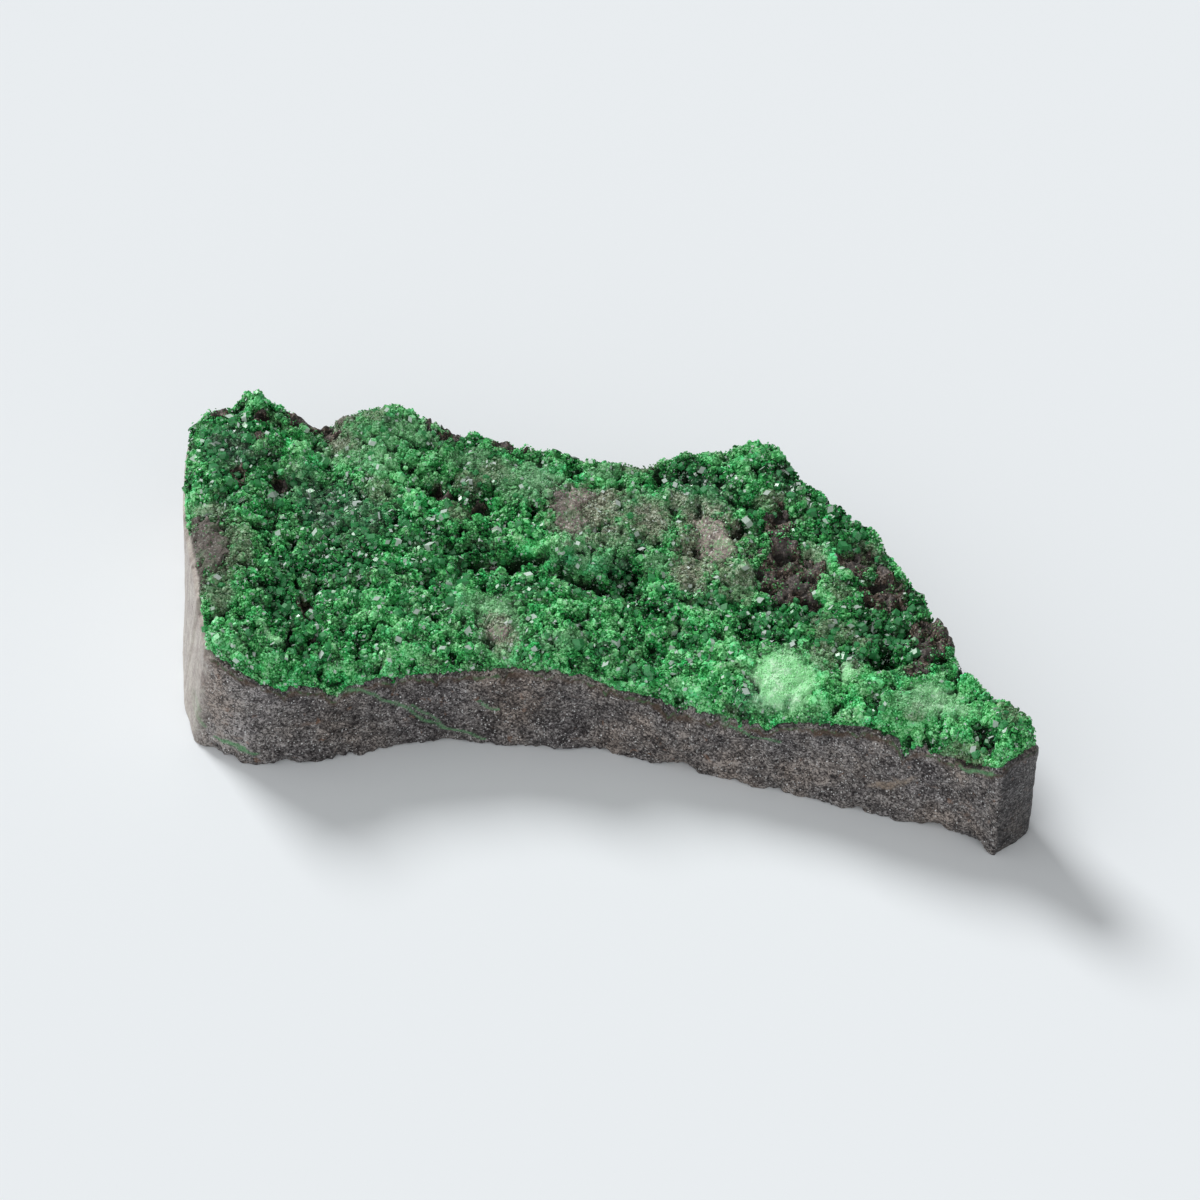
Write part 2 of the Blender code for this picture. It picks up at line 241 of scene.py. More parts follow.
RIM_LEFT = [
    (-35.9, 10.2), (-36.0, 5.7), (-35.8, 1.4), (-35.2, -3.2), (-34.6, -6.5),
    (-34.0, -10.0), (-33.4, -13.3), (-32.9, -15.8),
]


def rounded(points, steps=16):
    """A closed smooth line through the points."""
    p = np.array(points)
    a, b, c, d = np.roll(p, 1, 0), p, np.roll(p, -1, 0), np.roll(p, -2, 0)
    out = []
    for s in range(steps):
        t = s / steps
        out.append(0.5 * (2 * b + (c - a) * t + (2 * a - 5 * b + 4 * c - d) * t ** 2
                          + (3 * b - a - 3 * c + d) * t ** 3))
    return np.stack(out, 1).reshape(-1, 2)


def evenly(line, spacing):
    """The closed line again, with its points about `spacing` apart."""
    closed = np.vstack([line, line[:1]])
    run = np.concatenate([[0], np.cumsum(np.linalg.norm(np.diff(closed, axis=0), axis=1))])
    count = int(round(run[-1] / spacing))
    at = np.linspace(0, run[-1], count, endpoint=False)
    return np.stack([np.interp(at, run, closed[:, k]) for k in (0, 1)], 1)


def outwards(line, reach=3):
    """Unit vectors pointing out of the closed line."""
    along = np.roll(line, -reach, 0) - np.roll(line, reach, 0)
    along /= np.linalg.norm(along, axis=1)[:, None]
    return np.stack([along[:, 1], -along[:, 0]], 1)


RIM = rounded(RIM_FRONT + RIM_END + RIM_BACK + RIM_LEFT) + np.array(SHIFT)
RIM = evenly(RIM, 0.19)
RIM_OUT = outwards(RIM, 4)


def rim_distance(x, y):
    """Distance from plan points to the rim, in mm."""
    x, y = np.asarray(x).ravel(), np.asarray(y).ravel()
    coarse = RIM[::2]
    best = np.full(x.shape, 1e9)
    for k in range(0, len(x), 4000):
        d = np.hypot(x[k:k + 4000, None] - coarse[None, :, 0], y[k:k + 4000, None] - coarse[None, :, 1])
        best[k:k + 4000] = d.min(1)
    return best


def inside(x, y, line=RIM):
    """True for plan points inside the closed line."""
    x, y = np.asarray(x).ravel(), np.asarray(y).ravel()
    odd = np.zeros(x.shape, bool)
    x0, y0 = line[:, 0], line[:, 1]
    x1, y1 = np.roll(x0, -1), np.roll(y0, -1)
    for a, b, c, d in zip(x0, y0, x1, y1):
        if b == d:
            continue
        cross = ((b > y) != (d > y)) & (x < (c - a) * (y - b) / (d - b) + a)
        odd ^= cross
    return odd

# ------------------------------------------------------- the places on the top
# Each is placed by where it is seen from the front: pixel, half sizes, turn.
KNOBS = [                      # smooth bare rock; the last number is how light
    (207, 547, 23, 25, 0, 0.72), (200, 582, 8, 17, 10, 0.7), (570, 513, 16, 25, -22, 1.05), (580, 497, 16, 9, -10, 1.15),
    (716, 537, 19, 24, -35, 1.35), (500, 631, 9, 8, 0, 1.15), (344, 418, 12, 6, -25, 0.8),
]
WORN = [                       # rubbed crust round them: fine grains, pinkish grey
    (207, 547, 27, 28, 0, 0.55), (200, 584, 11, 22, 10, 0.65), (572, 512, 26, 29, -12, 1.05), (600, 510, 24, 22, 0, 1.25),
    (610, 500, 17, 15, 0, 1.0), (710, 541, 31, 33, -35, 1.40), (652, 520, 18, 15, 0, 1.05),
    (558, 503, 9, 17, -25, 0.60), (690, 574, 18, 15, 0, 1.05), (500, 631, 17, 17, 0, 1.25), (346, 420, 18, 9, -25, 0.8),
    (722, 568, 10, 12, -30, 1.2), (340, 444, 12, 9, 0, 0.8), (456, 514, 16, 7, 0, 0.9),
    (676, 500, 13, 9, 0, 1.3), (744, 575, 10, 12, 0, 1.0),
]
BROWN = [                      # open, grainy dark brown rock
    (788, 570, 34, 29, 25), (778, 518, 18, 14, 0), (804, 598, 17, 12, 10), (886, 592, 30, 19, 18),
    (931, 634, 22, 22, 40), (920, 662, 14, 12, 0), (262, 413, 12, 8, 0), (241, 471, 10, 8, 0),
    (279, 484, 10, 9, 0), (216, 409, 12, 6, 0), (312, 424, 26, 10, 25), (430, 422, 10, 9, 0),
    (449, 431, 18, 7, 10), (508, 446, 18, 8, 14), (437, 488, 15, 10, 30), (478, 506, 14, 9, 0),
    (857, 562, 20, 12, 10), (973, 762, 20, 12, 8),
    (305, 604, 7, 11, -12), (316, 641, 6, 6, 0), (262, 436, 8, 6, 0),
]
DUST = [                       # crystals worn down to a brownish, dusty green
    (602, 505, 26, 22, 0), (650, 520, 26, 24, 0), (690, 572, 24, 20, 0), (700, 512, 22, 16, 0),
    (735, 590, 20, 14, 0), (500, 634, 22, 18, 0), (826, 656, 18, 16, 0), (346, 442, 22, 15, 0), (374, 412, 14, 6, 0),
    (238, 545, 18, 26, 0), (222, 590, 12, 30, 10), (490, 470, 22, 14, 0), (612, 536, 26, 12, -5),
    (770, 500, 18, 10, 0), (915, 712, 14, 10, 0), (965, 752, 24, 12, 0), (378, 486, 18, 14, 0),
    (470, 480, 18, 12, 0), (1012, 716, 16, 10, 0), (860, 640, 8, 8, 0), (640, 466, 20, 8, 0),
    (815, 560, 12, 16, 0), (870, 555, 16, 14, 0), (210, 512, 16, 8, 0),
    (834, 630, 26, 15, 10), (852, 668, 17, 10, 10), (838, 590, 14, 12, 0),
]
POWDER = [                     # pale green powder
    (500, 609, 20, 9, 0), (538, 475, 17, 10, 0), (782, 680, 33, 29, 20), (794, 678, 22, 14, -30), (938, 700, 42, 15, 18),
    (850, 672, 9, 10, 0), (268, 634, 3, 16, -35),
]
BRIGHT = [                     # clean bright green lumps; in places this lightening is painted light, set against the relief's own shading
    (256, 400, 14, 8, 0), (262, 440, 12, 10, 0), (305, 450, 28, 18, -35),
    (385, 470, 30, 22, 0), (386, 430, 28, 10, 0), (232, 655, 24, 14, 30),
    (470, 600, 22, 14, 0), (574, 608, 22, 8, 0), (540, 488, 28, 16, 0), (336, 464, 26, 14, 0), (420, 630, 36, 9, -5), (574, 582, 20, 8, 0),
    (706, 656, 28, 14, 0), (690, 694, 50, 12, 22), (728, 666, 20, 14, 10),
    (820, 704, 30, 12, 10), (940, 738, 38, 12, 20), (830, 560, 10, 18, 0), (545, 540, 24, 8, -20),
    (880, 720, 30, 10, 12), (540, 655, 30, 8, 5), (400, 655, 46, 14, -10), (398, 604, 40, 16, 0),
    (790, 690, 60, 40, 15), (944, 703, 58, 24, 18), (362, 438, 36, 13, 0), (860, 690, 24, 20, 0), (404, 500, 20, 10, 0),
    (270, 676, 24, 8, 10), (660, 590, 14, 8, 0), (335, 470, 24, 10, 0), (744, 456, 20, 8, 0),
    (574, 534, 20, 8, -10), (816, 554, 10, 18, 0), (336, 676, 28, 7, 5), (420, 672, 34, 6, 0),
    (727, 716, 28, 8, 15), (612, 508, 12, 14, 0), (650, 556, 24, 10, 0), (744, 572, 14, 14, 0), (664, 500, 20, 10, 0),
    (404, 434, 20, 9, 0), (846, 650, 12, 8, 0), (826, 606, 10, 14, 0), (574, 544, 26, 9, -8), (540, 474, 22, 12, 0),
    (402, 453, 22, 10, 0), (500, 611, 22, 9, 0), (604, 561, 22, 10, 0), (266, 652, 12, 26, 10), (608, 632, 24, 9, 0),
    (660, 692, 36, 7, 18), (236, 606, 10, 14, 0), (740, 500, 14, 8, 0), (608, 478, 20, 9, 0), (540, 498, 18, 8, 0), (674, 673, 24, 8, 15), (846, 630, 12, 26, 0),
    (545, 563, 12, 7, 0), (235, 486, 10, 15, 0), (712, 456, 20, 7, 0), (682, 498, 16, 9, 0), (748, 588, 16, 9, 0),
    (508, 480, 16, 12, 0), (712, 675, 14, 7, 0), (596, 541, 18, 8, 0),
]
FROSTED = [                    # dull, pale grey green
    (395, 432, 40, 17, 5), (336, 452, 22, 13, 0), (524, 484, 28, 20, 0), (500, 470, 26, 13, 0),
    (372, 457, 30, 15, 0), (470, 604, 26, 9, 0), (502, 630, 28, 32, 0), (640, 508, 32, 18, 0), (935, 700, 34, 16, 18),
    (575, 545, 26, 9, 0), (620, 540, 24, 10, 0), (470, 455, 26, 10, 0), (500, 612, 18, 8, 0),
    (550, 486, 22, 12, 0), (905, 700, 16, 10, 0), (700, 500, 20, 10, 0),
    (610, 470, 24, 8, 0), (560, 640, 24, 8, 0), (660, 560, 18, 10, 0), (205, 508, 16, 9, 0),
    (574, 526, 24, 14, 0), (815, 560, 12, 20, 0), (744, 575, 16, 14, 0), (676, 500, 16, 10, 0),
    (222, 597, 14, 18, 0), (386, 434, 20, 8, 0),
]
DEEP = [                       # hollows of larger, clearer crystals, painted darker: partly darker crystals, partly painted shade in the hollows
    (704, 478, 36, 14, 6), (752, 611, 16, 6, 0), (606, 652, 18, 7, 0), (262, 455, 12, 8, 0), (302, 652, 12, 9, 0), (522, 586, 26, 8, 0), (372, 520, 16, 8, 0), (622, 577, 30, 19, 0), (878, 628, 28, 32, 0), (860, 655, 20, 12, 0),
    (480, 560, 56, 14, -4), (704, 602, 34, 9, 0), (600, 590, 24, 8, 10), (650, 612, 26, 8, 0), (780, 640, 20, 14, 0), (820, 616, 36, 10, 10),
    (330, 511, 34, 22, 0), (350, 560, 40, 30, 0), (296, 598, 34, 52, 0), (300, 640, 26, 18, 0),
    (800, 640, 34, 10, 0), (420, 606, 20, 8, 0), (740, 712, 20, 6, 20), (985, 737, 18, 12, 20),
    (876, 708, 10, 10, 0), (842, 518, 24, 22, 0), (640, 545, 10, 16, 0), (246, 430, 16, 14, 0),
    (764, 620, 30, 16, 0), (906, 640, 14, 28, 0), (250, 466, 16, 14, 0), (278, 622, 10, 14, 0),
    (430, 540, 30, 10, 0), (560, 592, 40, 7, 5), (878, 552, 14, 18, 0), (470, 492, 30, 14, 0),
    (812, 476, 20, 10, 0), (440, 586, 26, 9, 0), (438, 438, 20, 7, 0),
    (272, 478, 16, 10, 0), (744, 690, 18, 8, 0), (910, 600, 12, 16, 0), (800, 482, 36, 20, 20), (850, 530, 28, 22, 30),
    (214, 440, 24, 20, 0), (226, 486, 22, 14, 0), (500, 562, 50, 10, -6), (1000, 726, 16, 12, 0),
    (404, 520, 26, 10, 0), (404, 610, 24, 9, 0), (676, 640, 20, 8, 0), (846, 522, 16, 12, 0), (768, 521, 24, 9, 0),
    (268, 500, 18, 12, 0), (438, 606, 22, 8, 0),
    (438, 563, 18, 8, 0), (642, 674, 14, 6, 0), (892, 616, 14, 16, 30), (778, 606, 16, 7, 0),
]
GREY = [                       # fine grey-green sparkling druse
    (303, 485, 20, 20, 0), (345, 510, 44, 24, 10), (235, 450, 26, 20, 0), (700, 500, 30, 16, 0),
    (590, 560, 36, 12, 0), (540, 480, 16, 18, 0), (770, 700, 26, 14, 0),
]
PITS = [                       # pixel, half sizes, turn, depth in mm
    (238, 402, 16, 12, 0, 0.9),
    (468, 548, 20, 5, -4, 1.4), (500, 562, 46, 7, -8, 1.7), (590, 580, 46, 9, 18, 1.4),
    (627, 575, 15, 20, 0, 2.1), (716, 603, 46, 6, 4, 0.9), (478, 507, 12, 8, 0, 1.1),
    (749, 506, 9, 10, 0, 1.1), (739, 528, 6, 9, 0, 1.1), (407, 469, 11, 6, 20, 0.9),
    (436, 488, 12, 8, 35, 1.1), (304, 596, 5, 16, -12, 1.1), (294, 576, 4, 13, 0, 1.2), (315, 580, 5, 13, 15, 1.2),
    (285, 640, 5, 14, 10, 0.7), (886, 659, 15, 10, 20, 1.9), (984, 731, 13, 8, 30, 1.6),
    (812, 602, 14, 8, 10, 1.3), (262, 413, 10, 6, 0, 0.9), (278, 484, 9, 7, 0, 0.9),
    (238, 474, 9, 6, 0, 0.7), (246, 445, 7, 5, 0, 0.6), (790, 575, 30, 24, 25, 0.45),
    (886, 594, 26, 15, 18, 0.35), (690, 478, 16, 6, 10, 0.8), (726, 486, 12, 8, 40, 0.7),
    (660, 478, 10, 5, 0, 0.5), (640, 545, 7, 8, 0, 0.8), (700, 548, 6, 10, 0, 0.6),
    (560, 600, 26, 5, 8, 0.6), (350, 560, 18, 6, -10, 0.5),
    (250, 565, 14, 4, 20, 0.6), (775, 640, 26, 6, 10, 0.6), (700, 700, 26, 6, 20, 0.5),
    (875, 700, 8, 9, 0, 0.7), (920, 735, 18, 6, 10, 0.6), (470, 640, 14, 5, 0, 0.5),
    (650, 655, 10, 6, 0, 0.5), (330, 660, 12, 5, 0, 0.6),
    (395, 600, 14, 6, -10, 0.5), (443, 577, 20, 5, -5, 0.6), (860, 545, 10, 7, 0, 0.6),
    (764, 608, 14, 5, 0, 0.6), (780, 519, 12, 8, 0, 0.5), (303, 652, 8, 6, 0, 0.6),
]
SWELLS = [                     # pixel, half sizes, turn, height in mm
    (256, 398, 15, 10, 0, 0.9), (305, 452, 24, 15, -35, 0.4), (262, 442, 12, 10, 0, 0.5),
    (385, 415, 40, 12, 0, 0.3), (340, 430, 12, 16, 0, 0.3), (574, 511, 20, 24, -18, 0.2), (540, 476, 16, 10, 0, 0.35), (592, 556, 22, 8, 0, 0.25),
    (713, 538, 26, 28, -35, 0.05), (500, 630, 22, 20, 0, 0.30), (825, 570, 14, 26, 0, 0.6),
    (790, 680, 48, 28, 10, 0.55), (935, 702, 44, 24, 22, 0.5), (265, 636, 8, 24, -35, 0.45),
    (640, 520, 40, 30, 0, 0.25), (830, 630, 16, 10, 0, 0.4), (235, 655, 24, 12, 30, 0.35),
    (206, 480, 16, 10, 0, 0.35), (560, 545, 30, 8, -15, 0.35), (700, 575, 26, 14, 0, 0.35),
    (1010, 725, 22, 16, 20, 0.35), (470, 600, 30, 12, 0, 0.3), (875, 575, 10, 8, 0, 0.3), (864, 540, 16, 12, 20, 0.9), (936, 640, 16, 22, 30, 0.5), (540, 454, 32, 8, 5, 0.5), (292, 413, 14, 6, 0, 0.7), (312, 430, 12, 7, 25, 0.7), (890, 560, 12, 12, 40, 0.6), (868, 530, 10, 8, 30, 0.3),
    (490, 444, 14, 6, 10, 0.3), (968, 676, 12, 8, 30, 0.4), (674, 460, 34, 8, 0, 0.5),
    (502, 470, 26, 14, 0, 0.3), (815, 556, 12, 20, 0, 0.3),
]


def spots(u, v, places, soft=0.30, weight=None):
    """1 inside any of the places, 0 outside, with soft edges."""
    total = np.zeros_like(u)
    for place in places:
        px, py, rx, ry, turn = place[:5]
        a = math.radians(turn)
        dx, dy = u - px, v - py
        r = np.hypot((dx * math.cos(a) + dy * math.sin(a)) / rx, (-dx * math.sin(a) + dy * math.cos(a)) / ry)
        one = 1 - smooth((r - (1 - soft)) / (2 * soft))
        total = np.maximum(total, one) if weight is None else total + one * place[weight]
    return total


def seen(x, y, z, warp=1.0):
    """Pixel of each point, moved about a little so that no edge is an ellipse."""
    u, v = seen_at(x, y, z)
    u = u + warp * (7.0 * fbm(x, y, scale=2.6, seed=41) + 3.0 * vnoise(x, y, scale=0.7, seed=42))
    v = v + warp * (5.0 * fbm(x, y, scale=2.6, seed=43) + 2.2 * vnoise(x, y, scale=0.7, seed=44))
    return u, v


def caps(x, y, scale, seed):
    """Rounded lumps with narrow valleys between them, about -0.5 to 0.5."""
    d1, d2, own = cells(x, y, scale, seed)
    dome = np.sqrt(np.clip(1 - (d1 / 0.80) ** 2, 0, 1))
    return dome - 0.62 + 0.35 * (own - 0.5)


def pitted(x, y, scale, seed, share, deep):
    """Round holes in a share of the cells, as depths."""
    d1, d2, own = cells(x, y, scale, seed)
    reach = 0.22 + 0.20 * own / max(share, 1e-6)
    return np.where(own < share, deep * (0.5 + 0.5 * own / share) * (1 - smooth(d1 / reach)), 0.0)


def cracks(x, y, scale, seed, width):
    """Winding clefts, 1 along their middle."""
    n = fbm(x, y, scale=scale, seed=seed, octaves=3)
    return (1 - smooth(np.abs(n) / width)) * smooth(0.2 + 2.2 * vnoise(x, y, scale=scale * 1.4, seed=seed + 9))


def front_line(gx):
    return np.interp(gx, [q[0] for q in RIM_FRONT], [q[1] for q in RIM_FRONT])


def build_top():
    """The top of the crystals, and where the rock is bare."""
    xx, yy = np.meshgrid(GX, GY, indexing="ij")
    base = CRUST.at(xx, yy)
    u, v = seen(xx, yy, base)
    ragged = 0.36 * fbm(xx, yy, scale=1.1, seed=45) + 0.34 * fbm(xx, yy, scale=0.45, seed=46, octaves=2)
    knob = np.clip(spots(u, v, KNOBS, soft=0.80) + ragged * 1.0, 0, 1)
    broken = 0.60 * fbm(xx, yy, scale=1.5, seed=47) + 0.55 * fbm(xx, yy, scale=0.55, seed=48, octaves=2)
    brown = np.clip(spots(u, v, BROWN, soft=0.60) + broken - 0.10, 0, 1)
    knob = knob * smooth(spots(u, v, KNOBS, soft=0.60) / 0.15)
    brown = brown * smooth(spots(u, v, BROWN, soft=0.60) / 0.25)
    worn = np.maximum(spots(u, v, WORN, soft=0.5), 0.70 * spots(u, v, DUST, soft=0.5))
    powder = spots(u, v, POWDER, soft=0.6)
    rough = 1 - np.maximum(0.76 * worn, 0.84 * powder)
    wx = xx + 0.55 * fbm(xx, yy, scale=1.8, seed=51)
    wy = yy + 0.55 * fbm(xx, yy, scale=1.8, seed=52)
    top = base - 0.02
    top = top + rough * 0.40 * caps(wx, wy, 3.1, 5)
    top = top + rough * 0.24 * caps(wx, wy, 1.55, 6)
    top = top + rough * 0.13 * caps(wx, wy, 0.80, 7)
    top = top + rough * 0.52 * fbm(xx, yy, scale=0.9, seed=53)
    top = top + 0.40 * fbm(xx, yy, scale=4.5, seed=54)
    top = top - rough * pitted(wx, wy, 2.7, 15, 0.32, 1.2)
    top = top - rough * pitted(wx, wy, 1.5, 16, 0.38, 1.0)
    top = top - rough * pitted(wx, wy, 0.9, 18, 0.30, 0.60)
    top = top - rough * 0.85 * cracks(xx, yy, 3.6, 55, 0.10)
    top = top - rough * 0.45 * cracks(xx, yy, 1.5, 57, 0.12)
    top = top - 1.15 * spots(u, v, PITS, soft=0.55, weight=5)
    top = top + 0.8 * spots(u, v, SWELLS, soft=0.65, weight=5)
    # the crust rolls down to the rock along the front and the left
    edge = rim_distance(xx, yy).reshape(xx.shape)
    front = 1 - smooth((yy - SHIFT[1] - front_line(xx - SHIFT[0]) - 2.0) / 3.0)
    back = (1 - front) * smooth((xx + 35.5) / 1.5)
    top = top - (0.22 * (1 - back) + 0.62 * front) * (1 - smooth(edge / (0.8 + 0.9 * front)))
    top = top + 0.26 * back * (1 - smooth((edge - 0.3) / 1.8))
    # open brown rock is broken and holed
    holes = pitted(wx, wy, 1.1, 17, 0.45, 0.6) + 0.35 * np.abs(fbm(xx, yy, scale=0.9, seed=56))
    top = top - brown * holes * 1.1 - 0.18 * brown + brown * 0.30 * caps(wx, wy, 1.3, 9)
    top = np.maximum(top, ROCK.at(xx, yy) - 0.9)
    return top, knob, brown


_top, _knob, _brown = build_top()
TOP = Height(GX, GY, _top)
KNOB = Height(GX, GY, _knob)
OPEN = Height(GX, GY, _brown)
# above or below its surroundings, wide and close; the materials read it to paint light on the rises and shade in the
# hollows
RISE = Height(GX, GY, np.clip((_top - blurred(_top, 90)) / 0.8 + (_top - blurred(_top, 12)) / 0.65, -1, 1))


def widened(a, steps):
    """The highest value within so many steps."""
    for _ in range(steps):
        b = np.pad(a, 1, mode="edge")
        a = np.maximum.reduce([b[1:-1, 1:-1], b[:-2, 1:-1], b[2:, 1:-1], b[1:-1, :-2], b[1:-1, 2:]])
    return a


# the rock's top, carried out over its rounded rim
BED = Height(GX, GY, widened(ROCK.at(*np.meshgrid(GX, GY, indexing="ij")), 8))


def bare_at(x, y):
    return np.maximum(KNOB.at(x, y), OPEN.at(x, y))


def rock_height(x, y):
    """The rock's top: under the crust, and up to its surface where it is bare."""
    top, bare = TOP.at(x, y), bare_at(x, y)
    grain = 0.09 * fbm(x, y, scale=0.55, seed=61) + 0.10 * vnoise(x, y, scale=0.28, seed=62)
    under = np.minimum(BED.at(x, y), top - 0.50)
    shown = smooth((bare - 0.34) / 0.22)
    # open rock is rounded off where it meets the sawn side
    fall = 1.15 * smooth(OPEN.at(x, y) / 0.4) * (1 - smooth(rim_distance(x, y) / 1.3)) * smooth((-30 - x) / 2)
    return under * (1 - shown) + (top - 0.06 + grain - fall) * shown


def crust_height(x, y):
    top, bare = TOP.at(x, y), bare_at(x, y)
    return top - 0.17 + 0.07 * vnoise(x, y, scale=0.35, seed=63) - 0.60 * smooth((bare - 0.30) / 0.25)


# ----------------------------------------------------------------- mesh helpers
def new_piece(name, verts, tris, smooth_shaded=True):
    mesh = bpy.data.meshes.new(name)
    verts = np.asarray(verts, np.float32) * MM
    count = len(tris)
    mesh.vertices.add(len(verts))
    mesh.vertices.foreach_set("co", verts.ravel())
    mesh.loops.add(count * 3)
    mesh.loops.foreach_set("vertex_index", np.asarray(tris, np.int32).ravel())
    mesh.polygons.add(count)
    mesh.polygons.foreach_set("loop_start", np.arange(count, dtype=np.int32) * 3)
    mesh.update(calc_edges=True)
    mesh.polygons.foreach_set("use_smooth", np.full(count, smooth_shaded))
    ob = bpy.data.objects.new(name, mesh)
    bpy.context.scene.collection.objects.link(ob)
    return ob


def paint(ob, name, values, domain="POINT"):
    """One number for each vertex or face, which the material reads by name."""
    layer = ob.data.attributes.new(name, "FLOAT", domain)
    layer.data.foreach_set("value", np.ascontiguousarray(values, np.float32).ravel())


def scattered(lo, hi, spacing, rng):
    """A jittered triangular grid of plan points."""
    xs, ys = np.arange(lo[0], hi[0], spacing), np.arange(lo[1], hi[1], spacing * 0.866)
    px, py = np.meshgrid(xs, ys, indexing="ij")
    px = px + (np.arange(len(ys)) % 2)[None, :] * spacing / 2
    px = (px + rng.uniform(-0.22, 0.22, px.shape) * spacing).ravel()
    py = (py + rng.uniform(-0.22, 0.22, py.shape) * spacing).ravel()
    return px, py


def filled_plan(ring, spacing, seed, margin, fine=None, where=None):
    """Triangles that fill the closed ring: its own points first, then a jittered
    grid inside it, kept `margin` from the ring; finer where `where` says so."""
    rng = np.random.default_rng(seed)
    lo, hi = ring.min(0), ring.max(0)
    px, py = scattered(lo, hi, spacing, rng)
    if fine is not None:
        keep = ~where(px, py)
        fx, fy = scattered(lo, hi, fine, rng)
        more = where(fx, fy)
        px, py = np.concatenate([px[keep], fx[more]]), np.concatenate([py[keep], fy[more]])
    keep = inside(px, py, ring)
    px, py = px[keep], py[keep]
    far = np.full(px.shape, 1e9)
    for k in range(0, len(px), 4000):
        d = np.hypot(px[k:k + 4000, None] - ring[None, :, 0], py[k:k + 4000, None] - ring[None, :, 1])
        far[k:k + 4000] = d.min(1)
    keep = far > margin
    points = np.vstack([ring, np.stack([px[keep], py[keep]], 1)])
    n = len(ring)
    out = delaunay_2d_cdt([Vector(p) for p in points.tolist()],
                          [(i, (i + 1) % n) for i in range(n)], [], 1, 1e-7)
    coords = np.array([tuple(c) for c in out[0]])
    tris = np.array([t for t in out[2] if len(t) == 3])
    assert len(coords) == len(points) and np.allclose(coords, points, atol=1e-4)
    a, b, c = (points[tris[:, k]] for k in range(3))
    area = (b[:, 0] - a[:, 0]) * (c[:, 1] - a[:, 1]) - (b[:, 1] - a[:, 1]) * (c[:, 0] - a[:, 0])
    tris[area < 0] = tris[area < 0][:, ::-1]
    return points, tris


def eased(line, times):
    """The closed line with its points moved towards their neighbours' middle."""
    for _ in range(times):
        line = line * 0.5 + (np.roll(line, 1, 0) + np.roll(line, -1, 0)) * 0.25
    return line


# ---------------------------------------------------------------------- the rock
LEFT_SPREAD = [(-19, 1.6), (-15.8, 2.3), (-13.3, 2.4), (-10, 1.85), (-6.5, 1.4), (-3.2, 0.75), (0, 0.35), (6, 0.1)]


def lean(x, y, t):
    """How far a wall point moves along X: the left side spreads to its foot and
    the right end is slightly undercut."""
    gx, gy = x - SHIFT[0], y - SHIFT[1]
    spread = np.interp(gy, [p[0] for p in LEFT_SPREAD], [p[1] for p in LEFT_SPREAD])
    left = smooth((-27.5 - gx) / 8.0) * spread
    right = smooth((gx - 33.0) / 3.0) * 0.30
    return -(1 - t) * (left + right)


def wall_move(x, y, z, plain, end):
    """How far the broken wall stands out of or falls behind its line."""
    big = 0.38 * fbm(x, y, z, scale=3.4, seed=71)
    mid = 0.24 * fbm(x, y, z, scale=1.2, seed=72)
    fine = 0.13 * fbm(x, y, z, scale=0.42, seed=73, octaves=2)
    # grains that have come away
    lost = -0.16 * smooth((vnoise(x, y, z, scale=0.60, seed=75) - 0.35) / 0.35)
    chip = -0.55 * smooth(0.05 + 1.5 * fbm(x, y, np.full(len(x), 3.0), scale=2.4, seed=74)) * (1 - smooth(z / 1.6))
    flare = 0.34 * (1 - smooth(z / 5.0)) * (1 - end)
    return ((1 - plain) * (big + mid + fine + lost + flare)
            + plain * (0.10 * mid + 0.12 * big + 0.06 * fine) + (1 - 0.5 * plain) * chip)


